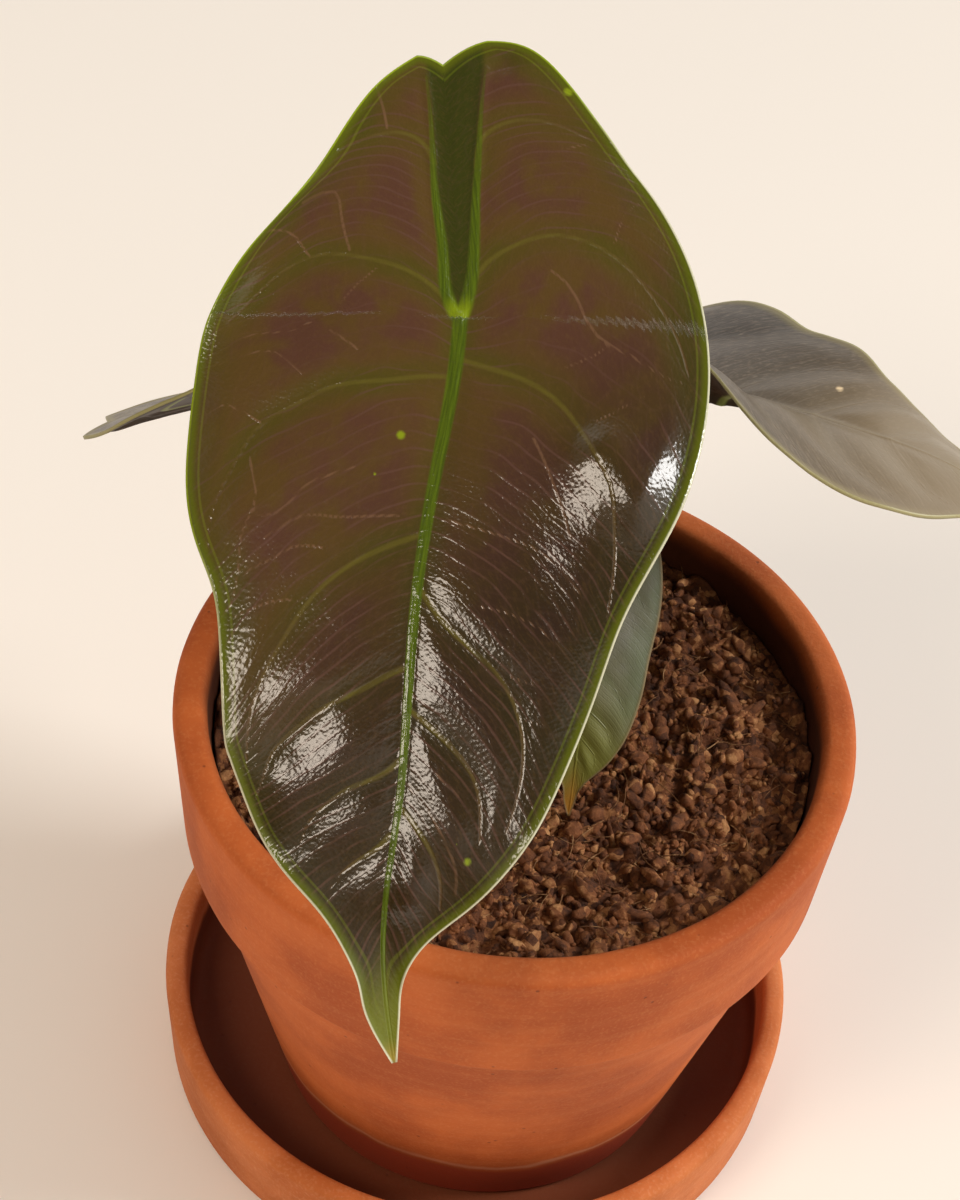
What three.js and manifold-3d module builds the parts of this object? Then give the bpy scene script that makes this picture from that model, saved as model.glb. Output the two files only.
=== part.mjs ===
// Alocasia azlanii in a terracotta pot on a saucer. Millimetres, +Z up.
// The origin is the centre of the saucer's underside, and the plant faces -Y.
import * as THREE from 'three';
import { mergeVertices } from 'three/addons/utils/BufferGeometryUtils.js';
import Module from 'manifold-3d';

const wasm = await Module();
wasm.setup();

// Driving dimensions: the pot and its saucer
const SAUCER_RADIUS = 66;
const SAUCER_HEIGHT = 21;
const SAUCER_FLOOR = 5;
const SAUCER_WALL = 4.5;
const SAUCER_COVE = 4;
const POT_RADIUS = 65;
const POT_TOP = 111;
const POT_WALL = 6.5;
const POT_BASE_RADIUS = 42;
const BAND_HEIGHT = 30;
const BAND_STEP = 3;
const BAND_TAPER = 2;
const LIP_ROUND = 2.6;
const FOOT_ROUND = 1.5;
const DRAIN_RADIUS = 6.5;
const POT_SHIFT = new THREE.Vector3(2, -5.3, 0);
const GAP = 0.3;
const TURN_STEPS = 56;

// Driving dimensions: soil, stem and stalks
const SOIL_LEVEL = 101.5;
const SOIL_WAVE = 0.77;
const HEAP_HEIGHT = 1.5;
const HEAP_WIDTH = 18;
const LUMP_HEIGHT = 2.2;
const CHIPS = { count: 34, length: [4, 9], width: 3.2, spread: 2, height: 2.4, sides: 5 };
const FIBRES = { count: 30, length: [8, 15], width: 1.4, spread: 0, height: 1.3, sides: 4 };
const STEM_CENTRE = new THREE.Vector3(2, -4, 0);
const STEM_RADIUS = 9.5;
const STEM_FOOT = 74;
const STEM_TOP = 112;
const SCAR_RINGS = 7;
const SCAR_DEPTH = 0.7;
const STALK_BASE_RADIUS = 2.9;
const STALK_TOP_RADIUS = 1.9;
const STALK_FOOT = 98;
const STALK_RING = 4.3;
const STALK_LEAN = 0.16;
const STALK_RISE = 0.4;
const STALK_REACH = 0.3;
const SMALL_STALK = 0.75;
const STALK_STEPS = 12;
const STALK_SIDES = 12;

// Driving dimensions: blades
const BLADE_THICKNESS = 0.7;
const RIB_HEIGHT = 1.5;
const RIB_WIDTH = 1.6;
const VEIN_HEIGHT = 0.7;
const VEIN_WIDTH = 1.1;
const QUILT_HEIGHT = 1.2;
const FORK_HEIGHT = 0.6;
const ROW_SPACING = 5.2;
const LEAF_LENGTH = 127;
const RIB_FADE = 60;
const CUT_REACH = 12;

// The big leaf that faces the viewer. The midrib is listed as distance past the stalk, x, y, z.
// Each outline row joins a point of the midrib to both edges: distance along the midrib, then
// reach and distance along for the left edge, and the same for the right edge.
const MAIN_LEAF = {
  midrib: [
    [-49, -24, 46.5, 216.8], [-25, -19.5, 24.4, 207.4], [0, -15.2, 1.6, 198.5],
    [33, -16.1, -28.1, 184.2], [58.5, -16.2, -49.5, 170.6], [83, -15.1, -68.7, 155.3],
    [108, -15, -85.6, 137.1], [127, -11.1, -96.7, 121.8],
  ],
  outline: [
    [-49.2, 4.5, -51, 8.1, -53.4], [-43, 12.4, -44.8, 16.5, -51], [-35, 21, -32.8, 25.6, -38.6],
    [-25, 29.4, -22.6, 31, -29], [-15, 36.8, -14, 36.8, -17.6], [-7, 41.4, -4, 41.3, -4],
    [-2, 43.2, 4, 42.9, 7], [4, 43.8, 16, 42.6, 20], [10.5, 42, 33, 40.5, 31],
    [18, 37.6, 45, 37.5, 40.5], [28, 32.6, 55, 34, 51.5], [38.5, 30.2, 71.5, 30.9, 64],
    [50, 28.7, 78.5, 26.2, 77.5], [62, 26.4, 84.3, 22.6, 85.8], [74, 22, 92.4, 18.2, 93.4],
    [84, 16, 98.2, 13.3, 100], [93, 9.5, 103.8, 8, 105.8], [103, 4.9, 111.3, 3.8, 112],
    [115, 3.7, 118.2, 2.2, 118.6], [127, 0.5, 127, 0.5, 127],
  ],
  tilt: [[-50, 2.5], [127, 2.5]],
  fold: [[-50, 5.7], [127, 5.7]],
  cup: -0.003,
  sag: [[-50, 0], [-35, -5], [-5, -12], [10, 0], [127, 0]],
  bow: [[-50, -0.4], [-30, 0.5], [10, 1], [40, 0.75], [62, 0.35], [127, 0.1]],
  leftVeins: [-32, -2.5, 10.5, 38.5, 62, 77.5, 90],
  rightVeins: [-30, -6, 7.7, 47.5, 68, 84, 96],
  scale: 1,
  columns: 8,
};

// The second big leaf, behind the first, folded along its midrib and turned to the right
const BACK_LEAF = {
  midrib: [
    [-57, -84, 40.5, 127.3], [-29, -57, 42, 139], [0, -29, 42, 145.5], [34.3, 4, 40, 151.5],
    [67.8, 36.6, 35.7, 157.5], [91.7, 58.7, 27.2, 160.5], [111.3, 77.7, 23.1, 157.5],
    [132.6, 96.2, 18.4, 148],
  ],
  outline: [
    [-57, 7, -60, 7, -60], [-50, 15, -52, 15, -52], [-41, 23, -41, 23, -41],
    [-29, 31, -28, 31, -28], [-17, 37, -17, 37, -17], [-8, 41, -6, 41, -6],
    [-2, 43, 4, 43, 4], [5, 44, 17, 44, 17], [12, 44, 33, 44, 33],
    [21, 41, 46, 42, 45], [32, 35, 58, 40, 59], [44, 29.5, 70, 29.5, 70],
    [57, 27, 82, 25.5, 79], [70, 24.5, 91, 19.5, 90], [82, 22, 100, 17.3, 99],
    [93, 18, 107.5, 16.4, 108], [103, 13, 114, 14, 114], [113, 7, 120.5, 8, 120.5],
    [123, 3, 127, 3, 127], [132.6, 0.5, 132.6, 0.5, 132.6],
  ],
  tilt: [
    [-60, -28], [-45, -36], [-20, -41], [40, -41], [64, -33], [72, -27], [92, -12], [111, -18], [132, -22],
  ],
  fold: [[-60, 0], [-35, 3], [0, 6], [40, 15], [62, 23], [72, 20], [92, 5], [111, -11], [132, -12]],
  cup: 0,
  sag: [[-57, 0], [-35, -5], [-5, -11], [10, 0], [132, 0]],
  bow: [[-57, -0.4], [-30, 0.5], [10, 1], [40, 0.75], [62, 0.35], [132, 0.1]],
  leftVeins: [-36, -5, 11, 40, 64, 82, 97],
  rightVeins: [-36, -5, 11, 40, 64, 82, 97],
  scale: 1,
  columns: 7,
};

// The small leaf low on the right: the big leaf's outline at a smaller scale, hanging to the soil
const SMALL_LEAF = {
  ...MAIN_LEAF,
  midrib: [
    [-18.7, 7.5, 18, 154], [0, 9, 4.8, 142.5], [16, 11.8, -7.5, 131], [32, 13.8, -17.3, 118.5],
    [48.3, 14, -25.5, 105.5],
  ],
  tilt: [[-19, 0], [48, -4]],
  fold: [[-19, 8], [48, 8]],
  scale: 0.39,
  columns: 5,
};

// A natural cubic spline through the pairs, straight past its ends
function smoothThrough(pairs) {
  const at = pairs.map((pair) => pair[0]);
  const value = pairs.map((pair) => pair[1]);
  const last = pairs.length - 1;
  const step = at.slice(1).map((a, i) => a - at[i]);
  const slope = step.map((h, i) => (value[i + 1] - value[i]) / h);
  const bend = new Array(last + 1).fill(0);
  const pivot = [1];
  const load = [0];
  for (let i = 1; i < last; i++) {
    const carry = i > 1 ? step[i - 1] / pivot[i - 1] : 0;
    pivot[i] = 2 * (step[i - 1] + step[i]) - carry * step[i - 1];
    load[i] = 6 * (slope[i] - slope[i - 1]) - carry * load[i - 1];
  }
  for (let i = last - 1; i > 0; i--) {
    bend[i] = (load[i] - step[i] * bend[i + 1]) / pivot[i];
  }
  return (x) => {
    if (x <= at[0]) {
      return value[0] + (x - at[0]) * (slope[0] - (step[0] * bend[1]) / 6);
    }
    if (x >= at[last]) {
      return value[last] + (x - at[last]) * (slope[last - 1] + (step[last - 1] * bend[last - 1]) / 6);
    }
    const i = at.findIndex((a) => a > x) - 1;
    const h = step[i];
    const before = (at[i + 1] - x) / h;
    const after = (x - at[i]) / h;
    const swing = ((before ** 3 - before) * bend[i] + (after ** 3 - after) * bend[i + 1]) * h * h;
    return before * value[i] + after * value[i + 1] + swing / 6;
  };
}

// Straight lines through the pairs, level past their ends
function straightThrough(pairs) {
  return (x) => {
    const next = pairs.findIndex((pair) => pair[0] >= x);
    if (next === 0) {
      return pairs[0][1];
    }
    if (next < 0) {
      return pairs[pairs.length - 1][1];
    }
    const [from, to] = [pairs[next - 1], pairs[next]];
    return from[1] + ((to[1] - from[1]) * (x - from[0])) / (to[0] - from[0]);
  };
}

const radians = (degrees) => (degrees * Math.PI) / 180;
const bell = (x, width) => Math.exp(-((x / width) ** 2));

// The surface of a leaf: place(x, y) is the point x mm beside the midrib at y mm along it
function leafSurface(leaf) {
  const line = [1, 2, 3].map((axis) => smoothThrough(leaf.midrib.map((p) => [p[0], p[axis]])));
  const tilt = smoothThrough(leaf.tilt);
  const fold = smoothThrough(leaf.fold);
  const midrib = (y) => new THREE.Vector3(line[0](y), line[1](y), line[2](y));
  const frame = (y) => {
    const along = midrib(y + 0.5).sub(midrib(y - 0.5)).normalize();
    const level = new THREE.Vector3(0, 0, 1).cross(along).normalize();
    const up = along.clone().cross(level);
    const turn = radians(tilt(y));
    const across = level.clone().multiplyScalar(Math.cos(turn)).addScaledVector(up, Math.sin(turn));
    const normal = up.multiplyScalar(Math.cos(turn)).addScaledVector(level, -Math.sin(turn));
    return { across, normal };
  };
  const place = (x, y, lift) => {
    const { across, normal } = frame(y);
    const rise = radians(fold(y));
    const round = Math.sqrt(x * x + 1) - 1;
    const height = round * Math.sin(rise) + (leaf.cup * x * x) / leaf.scale + lift;
    return midrib(y).addScaledVector(across, x * Math.cos(rise)).addScaledVector(normal, height);
  };
  return { midrib, frame, place };
}

// Rows of the blade's grid: at each vein, half way between veins, and closer where the gap is wide
function rowPlaces(leaf) {
  const ends = [leaf.outline[0][0], leaf.outline[leaf.outline.length - 1][0]];
  const fixed = [...new Set([...leaf.leftVeins, ...leaf.rightVeins, ...ends])].sort((a, b) => a - b);
  const rows = [fixed[0]];
  for (let i = 1; i < fixed.length; i++) {
    const gap = fixed[i] - fixed[i - 1];
    const parts = Math.max(1, Math.round(gap / ROW_SPACING));
    for (let k = 1; k <= parts; k++) {
      rows.push(fixed[i - 1] + (gap * k) / parts);
    }
  }
  return rows;
}

// Lift of the blade between two veins, and the veins' own ridges, for one side of the leaf
function relief(veins, start, share) {
  const next = veins.findIndex((vein) => vein > start);
  const ridge = veins.reduce((sum, vein) => sum + bell(start - vein, VEIN_WIDTH), 0);
  if (next < 1) {
    return { quilt: 0, ridge };
  }
  const phase = (start - veins[next - 1]) / (veins[next] - veins[next - 1]);
  return { quilt: Math.sin(Math.PI * phase) * Math.sin(Math.PI * share), ridge };
}

// The blade: rows of points on its upper face, and the same points moved down by its thickness.
// Behind the stalk two veins fork away beside the midrib, on the grid's first column each side.
// With a clearance it is a thicker block that cuts a stalk clear of the blade.
function bladeRows(leaf, clearance = 0) {
  const surface = leafSurface(leaf);
  const size = leaf.scale;
  const reach = [1, 3].map((k) => smoothThrough(leaf.outline.map((row) => [row[0], row[k]])));
  const edge = [2, 4].map((k) => smoothThrough(leaf.outline.map((row) => [row[0], row[k]])));
  const sag = straightThrough(leaf.sag);
  const bow = straightThrough(leaf.bow);
  const upper = [];
  const lower = [];
  for (const start of rowPlaces(leaf)) {
    const upperRow = [];
    const lowerRow = [];
    for (let j = -leaf.columns; j <= leaf.columns; j++) {
      const side = j < 0 ? 0 : 1;
      const count = Math.abs(j) / leaf.columns;
      const share = count * (0.45 + 0.55 * count);
      const x = Math.sign(j) * reach[side](start) * share;
      const curve = (1 - bow(start)) * share + bow(start) * share * share;
      const hang = sag(start) * 4 * share * (1 - share);
      const y = start + (edge[side](start) - start) * curve + hang;
      const { quilt, ridge } = relief(side ? leaf.rightVeins : leaf.leftVeins, start, share);
      const fade = 1 - share ** 3;
      const fork = start < -2 && Math.abs(j) === 1 ? FORK_HEIGHT : 0;
      const lift = (QUILT_HEIGHT * quilt + VEIN_HEIGHT * ridge * fade * Math.min(1, 6 * share) + fork) * size;
      const slim = Math.min(1, (LEAF_LENGTH - start) / RIB_FADE);
      const rib = RIB_HEIGHT * size * slim * bell(x, RIB_WIDTH * size);
      const depth = BLADE_THICKNESS + rib + VEIN_HEIGHT * ridge * fade * size + clearance;
      const top = surface.place(x * size, y * size, lift + CUT_REACH * clearance);
      upperRow.push(top);
      const drop = depth + CUT_REACH * clearance;
      lowerRow.push(top.clone().addScaledVector(surface.frame(y * size).normal, -drop));
    }
    upper.push(upperRow);
    lower.push(lowerRow);
  }
  return { upper, lower };
}

// One closed body from two facing grids of points, split into triangles alike on both faces
function closedSheet({ upper, lower }) {
  const rows = upper.length;
  const columns = upper[0].length;
  const points = [...upper.flat(), ...lower.flat()];
  const under = rows * columns;
  const index = [];
  const quad = (a, b, c, d) => index.push(a, b, c, a, c, d);
  for (let i = 0; i + 1 < rows; i++) {
    for (let j = 0; j + 1 < columns; j++) {
      const a = i * columns + j;
      const [b, c, d] = [a + 1, a + columns + 1, a + columns];
      index.push(a, d, c, a, c, b);
      index.push(under + a, under + c, under + d, under + a, under + b, under + c);
    }
    const left = i * columns;
    const right = left + columns - 1;
    quad(left, under + left, under + left + columns, left + columns);
    quad(right + columns, under + right + columns, under + right, right);
  }
  for (let j = 0; j + 1 < columns; j++) {
    const foot = (rows - 1) * columns + j;
    quad(j + 1, under + j + 1, under + j, j);
    quad(foot, under + foot, under + foot + 1, foot + 1);
  }
  return fromPoints(points, index);
}

// One closed body from rings of points, each ring turned left about the way forward
function closedTube(rings) {
  const around = rings[0].length;
  const centre = (ring) => ring.reduce((sum, p) => sum.add(p), new THREE.Vector3()).divideScalar(around);
  const points = [...rings.flat(), centre(rings[0]), centre(rings[rings.length - 1])];
  const foot = points.length - 2;
  const index = [];
  for (let k = 0; k < around; k++) {
    const next = (k + 1) % around;
    for (let i = 0; i + 1 < rings.length; i++) {
      const [a, b] = [i * around + k, i * around + next];
      index.push(a, b, b + around, a, b + around, a + around);
    }
    const end = (rings.length - 1) * around;
    index.push(foot, next, k, foot + 1, end + k, end + next);
  }
  return fromPoints(points, index);
}

function fromPoints(points, index) {
  const geometry = new THREE.BufferGeometry();
  const numbers = points.flatMap((p) => [p.x, p.y, p.z]);
  geometry.setAttribute('position', new THREE.Float32BufferAttribute(numbers, 3));
  geometry.setIndex(index);
  return geometry;
}

// Booleans
function toSolid(geometry) {
  const plain = geometry.clone();
  plain.deleteAttribute('normal');
  plain.deleteAttribute('uv');
  const merged = mergeVertices(plain, 1e-4);
  return new wasm.Manifold(new wasm.Mesh({
    numProp: 3,
    vertProperties: new Float32Array(merged.attributes.position.array),
    triVerts: new Uint32Array(merged.index.array),
  }));
}

function fromSolid(solid) {
  const { vertProperties, triVerts } = solid.getMesh();
  const geometry = new THREE.BufferGeometry();
  geometry.setAttribute('position', new THREE.Float32BufferAttribute(vertProperties, 3));
  geometry.setIndex([...triVerts]);
  return geometry;
}

// A fixed sequence of numbers from 0 to 1
function makeDraw(seed) {
  let state = seed;
  return () => {
    state = (state * 16807) % 2147483647;
    return state / 2147483647;
  };
}

// A body turned about the Z axis from a closed profile of radius and height pairs
function turned(profile, shift) {
  const points = profile.map(([radius, height]) => new THREE.Vector2(radius, height));
  const geometry = new THREE.LatheGeometry(points, TURN_STEPS);
  geometry.rotateX(Math.PI / 2);
  return geometry.translate(shift.x, shift.y, shift.z);
}

function makeSaucer() {
  const lip = SAUCER_HEIGHT;
  const inner = SAUCER_RADIUS - SAUCER_WALL;
  return turned([
    [0, 0], [SAUCER_RADIUS - 3, 0], [SAUCER_RADIUS - 1.6, 1.6], [SAUCER_RADIUS - 0.6, lip - 5],
    [SAUCER_RADIUS, lip - 1.5], [SAUCER_RADIUS - 1.2, lip], [inner + 1, lip], [inner, lip - 1.5],
    [inner - 1, SAUCER_FLOOR + SAUCER_COVE], [inner - 0.5 - SAUCER_COVE, SAUCER_FLOOR], [0, SAUCER_FLOOR],
  ], new THREE.Vector3());
}

const POT_FOOT = SAUCER_FLOOR + GAP;
const FLOOR_TOP = POT_FOOT + POT_WALL + 0.5;
const BAND_FOOT = POT_TOP - BAND_HEIGHT;
const NECK_RADIUS = POT_RADIUS - BAND_TAPER - BAND_STEP;
const innerRadius = straightThrough([
  [FLOOR_TOP, POT_BASE_RADIUS - POT_WALL + FOOT_ROUND], [BAND_FOOT, NECK_RADIUS - POT_WALL],
  [POT_TOP - 6, POT_RADIUS - POT_WALL - 0.4], [POT_TOP, POT_RADIUS - POT_WALL],
]);

function makePot() {
  return turned([
    [DRAIN_RADIUS, POT_FOOT], [POT_BASE_RADIUS - FOOT_ROUND, POT_FOOT],
    [POT_BASE_RADIUS, POT_FOOT + FOOT_ROUND], [NECK_RADIUS, BAND_FOOT - 0.8],
    [POT_RADIUS - LIP_ROUND, BAND_FOOT], [POT_RADIUS - 1.8, BAND_FOOT + 1],
    [POT_RADIUS, POT_TOP - 3], [POT_RADIUS - 0.8, POT_TOP - 0.8], [POT_RADIUS - LIP_ROUND, POT_TOP],
    [innerRadius(POT_TOP) + 1.2, POT_TOP], [innerRadius(POT_TOP), POT_TOP - 1.4],
    [innerRadius(POT_TOP - 6), POT_TOP - 6], [innerRadius(BAND_FOOT), BAND_FOOT],
    [innerRadius(FLOOR_TOP), FLOOR_TOP], [DRAIN_RADIUS, FLOOR_TOP], [DRAIN_RADIUS, POT_FOOT],
  ], POT_SHIFT);
}

// The soil's surface: crossed waves about its level, a little higher round the stem
function soilHeight(x, y) {
  const waves = Math.sin(x * 0.31 + 1) * Math.cos(y * 0.27) + 0.6 * Math.sin(x * 0.13 - y * 0.17 + 2);
  const heap = HEAP_HEIGHT * bell(Math.hypot(x - STEM_CENTRE.x, y - STEM_CENTRE.y), HEAP_WIDTH);
  return SOIL_LEVEL + SOIL_WAVE * waves + heap;
}

// A small bar of soil matter, lying at a slope with its foot sunk in the soil
function crumb(draw, kind) {
  const length = THREE.MathUtils.lerp(...kind.length, draw());
  const width = kind.width + (kind.spread ? kind.spread * draw() : 0);
  const radius = (innerRadius(SOIL_LEVEL) - length * 0.6 - 3) * Math.sqrt(draw());
  const angle = 2 * Math.PI * draw();
  const geometry = new THREE.CylinderGeometry(width * 0.35, width * 0.5, length, kind.sides);
  geometry.scale(1, 1, kind.height / width);
  geometry.rotateZ(Math.PI / 2 - 0.25 - 0.3 * draw());
  geometry.rotateX(Math.PI / 2);
  geometry.rotateZ(2 * Math.PI * draw());
  const x = POT_SHIFT.x + radius * Math.cos(angle);
  const y = POT_SHIFT.y + radius * Math.sin(angle);
  return geometry.translate(x, y, soilHeight(x, y));
}

function makeSoil() {
  const lump = makeDraw(977);
  const levels = [FLOOR_TOP + GAP, FLOOR_TOP + 6, 50, BAND_FOOT, SOIL_LEVEL - 5];
  const ring = (radius, height) => Array.from({ length: TURN_STEPS }, (_, k) => {
    const angle = (2 * Math.PI * (k + 0.5)) / TURN_STEPS;
    const x = POT_SHIFT.x + radius * Math.cos(angle);
    const y = POT_SHIFT.y + radius * Math.sin(angle);
    return new THREE.Vector3(x, y, height === undefined ? soilHeight(x, y) + LUMP_HEIGHT * lump() : height);
  });
  const wallGap = 1.4 * GAP;
  const side = levels.map((height) => ring(innerRadius(height) - wallGap, height));
  const edge = innerRadius(SOIL_LEVEL - 2) - wallGap;
  const top = [1, 0.93, 0.84, 0.74, 0.62, 0.48, 0.32, 0.15].map((share) => ring(edge * share));
  let soil = toSolid(closedTube([...side, ...top]));
  const draw = makeDraw(4021);
  for (const kind of [CHIPS, FIBRES]) {
    for (let k = 0; k < kind.count; k++) {
      soil = soil.add(toSolid(crumb(draw, kind)));
    }
  }
  const hole = new THREE.CylinderGeometry(STEM_RADIUS + 1, STEM_RADIUS + 1, 60, 28);
  hole.rotateX(Math.PI / 2);
  hole.translate(STEM_CENTRE.x, STEM_CENTRE.y, STEM_FOOT - 0.5 + 30);
  return fromSolid(soil.subtract(toSolid(hole)));
}

// A leaf stalk from its socket in the stem to the underside of the blade
function makeStalk(leaf, bearing, extra = 0) {
  const surface = leafSurface(leaf);
  const angle = radians(bearing);
  const out = new THREE.Vector3(Math.cos(angle), Math.sin(angle), 0);
  const foot = STEM_CENTRE.clone().addScaledVector(out, STALK_RING).setZ(STALK_FOOT);
  const joint = surface.midrib(0);
  const normal = surface.frame(0).normal;
  const length = joint.distanceTo(foot);
  const path = new THREE.CubicBezierCurve3(
    foot,
    foot.clone().addScaledVector(out, STALK_LEAN * length).setZ(STALK_FOOT + STALK_RISE * length),
    joint.clone().addScaledVector(normal, -STALK_REACH * length),
    joint.clone().addScaledVector(normal, 0.2),
  );
  const rings = [];
  for (let i = 0; i <= STALK_STEPS; i++) {
    const share = i / STALK_STEPS;
    const forward = path.getTangent(share);
    const aside = new THREE.Vector3(0, 1, 0).cross(forward).normalize();
    const ahead = forward.clone().cross(aside);
    const slim = THREE.MathUtils.lerp(STALK_BASE_RADIUS, STALK_TOP_RADIUS, share ** 0.7);
    const radius = slim * (leaf.scale < 1 ? SMALL_STALK : 1) + extra;
    const middle = path.getPoint(share);
    rings.push(Array.from({ length: STALK_SIDES }, (_, k) => {
      const turn = (2 * Math.PI * k) / STALK_SIDES;
      return middle.clone().addScaledVector(aside, radius * Math.cos(turn))
        .addScaledVector(ahead, radius * Math.sin(turn));
    }));
  }
  if (extra) {
    rings.unshift(rings[0].map((p) => p.clone().setZ(p.z - extra)));
  }
  return toSolid(closedTube(rings));
}

// The part of a stalk that stays clear of the blade above it
function trimmedStalk(leaf, bearing) {
  const cut = makeStalk(leaf, bearing).subtract(toSolid(closedSheet(bladeRows(leaf, GAP))));
  const pieces = cut.decompose().sort((a, b) => b.volume() - a.volume());
  return fromSolid(pieces[0]);
}

// The short upright stem with the rings of old leaf scars, and a socket for each stalk
function makeStem(stalks) {
  const profile = [[0, STEM_FOOT]];
  const height = STEM_TOP - 3 - STEM_FOOT;
  for (let i = 0; i <= 2 * SCAR_RINGS; i++) {
    const share = i / (2 * SCAR_RINGS);
    const body = STEM_RADIUS * (0.72 + 0.28 * Math.sin(Math.PI * Math.min(1, share * 0.9)));
    profile.push([body - (i % 2 ? 0 : SCAR_DEPTH), STEM_FOOT + 1.5 + height * share * 0.97]);
  }
  profile.push([STEM_RADIUS * 0.45, STEM_TOP - 0.4], [0, STEM_TOP]);
  const points = profile.map(([radius, z]) => new THREE.Vector2(radius, z));
  const body = new THREE.LatheGeometry(points, 24);
  body.rotateX(Math.PI / 2);
  let solid = toSolid(body.translate(STEM_CENTRE.x, STEM_CENTRE.y, 0));
  for (const [leaf, bearing] of stalks) {
    solid = solid.subtract(makeStalk(leaf, bearing, GAP));
  }
  return fromSolid(solid);
}

function piece(name, geometry, color, roughness) {
  const mesh = new THREE.Mesh(geometry, new THREE.MeshStandardMaterial({ color, roughness, metalness: 0 }));
  mesh.name = name;
  return mesh;
}

const stalks = [[MAIN_LEAF, 205], [BACK_LEAF, 95], [SMALL_LEAF, 330]];
const plant = new THREE.Group();
plant.add(
  piece('saucer', makeSaucer(), 0xc4794a, 0.85),
  piece('pot', makePot(), 0xa5522a, 0.85),
  piece('soil', makeSoil(), 0x3b2419, 0.95),
  piece('stem', makeStem(stalks), 0x6b5a3a, 0.8),
  piece('main_petiole', trimmedStalk(...stalks[0]), 0x7fa03a, 0.45),
  piece('back_petiole', trimmedStalk(...stalks[1]), 0x7a8f45, 0.45),
  piece('small_petiole', trimmedStalk(...stalks[2]), 0x7fa03a, 0.45),
  piece('main_blade', closedSheet(bladeRows(MAIN_LEAF)), 0x3a2a20, 0.25),
  piece('back_blade', closedSheet(bladeRows(BACK_LEAF)), 0x5a4a44, 0.5),
  piece('small_blade', closedSheet(bladeRows(SMALL_LEAF)), 0x5f6f5a, 0.55),
);

export default plant;
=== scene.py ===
import math
import random
from functools import partial

import bmesh
import bpy
import numpy as np
from mathutils import Matrix, Vector, noise


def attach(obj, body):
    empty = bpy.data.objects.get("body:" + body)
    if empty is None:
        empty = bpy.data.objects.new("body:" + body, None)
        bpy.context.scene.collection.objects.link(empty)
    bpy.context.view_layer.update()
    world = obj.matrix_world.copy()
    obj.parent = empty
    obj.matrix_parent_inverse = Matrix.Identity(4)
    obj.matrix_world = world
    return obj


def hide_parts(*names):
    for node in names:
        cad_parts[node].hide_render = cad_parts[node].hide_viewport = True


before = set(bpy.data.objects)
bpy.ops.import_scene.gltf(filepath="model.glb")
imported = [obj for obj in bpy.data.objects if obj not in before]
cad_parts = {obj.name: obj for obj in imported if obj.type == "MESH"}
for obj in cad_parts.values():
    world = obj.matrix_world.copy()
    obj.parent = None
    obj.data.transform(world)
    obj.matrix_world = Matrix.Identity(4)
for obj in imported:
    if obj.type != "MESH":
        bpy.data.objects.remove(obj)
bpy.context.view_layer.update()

bl_info = {
    "name": "Potted Alocasia azlanii",
    "version": (1, 0, 0),
    "blender": (4, 5, 0),
    "location": "3D View > Sidebar > Alocasia",
    "description": "Finishes an Alocasia azlanii in its terracotta pot and saucer",
    "category": "Add Mesh",
}

MM = 0.001
PHOTO_WIDTH = 960
PHOTO_HEIGHT = 1200
CAMERA_TURNS = (1.414, 46.57, 5.745)
CAMERA_PLACE = (2.07, -368.84, 521.84)
CAMERA_LENS = 87.0
FILM_HEIGHT = 36.0

# Settings that many nodes share
SOFT = {"interpolation_type": "SMOOTHSTEP"}
TINT = {"data_type": "RGBA"}
TIMES = {"operation": "MULTIPLY"}
TIMES_PLUS = {"operation": "MULTIPLY_ADD"}

# Clay sizes, in mm, as the solids have them
POT_AXIS = (2.0, -5.3)
POT_FOOT = 5.3
POT_TOP = 111.0
BAND_FOOT = 81.0
FLOOR_TOP = 12.3
DRAIN_RADIUS = 6.5
SOIL_LEVEL = 101.5
SOIL_GAP = 0.42
SOIL_SEED = 4021
DAMP_REACH = 62.6
STEM_AXIS = (2.0, -4.0)

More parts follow.
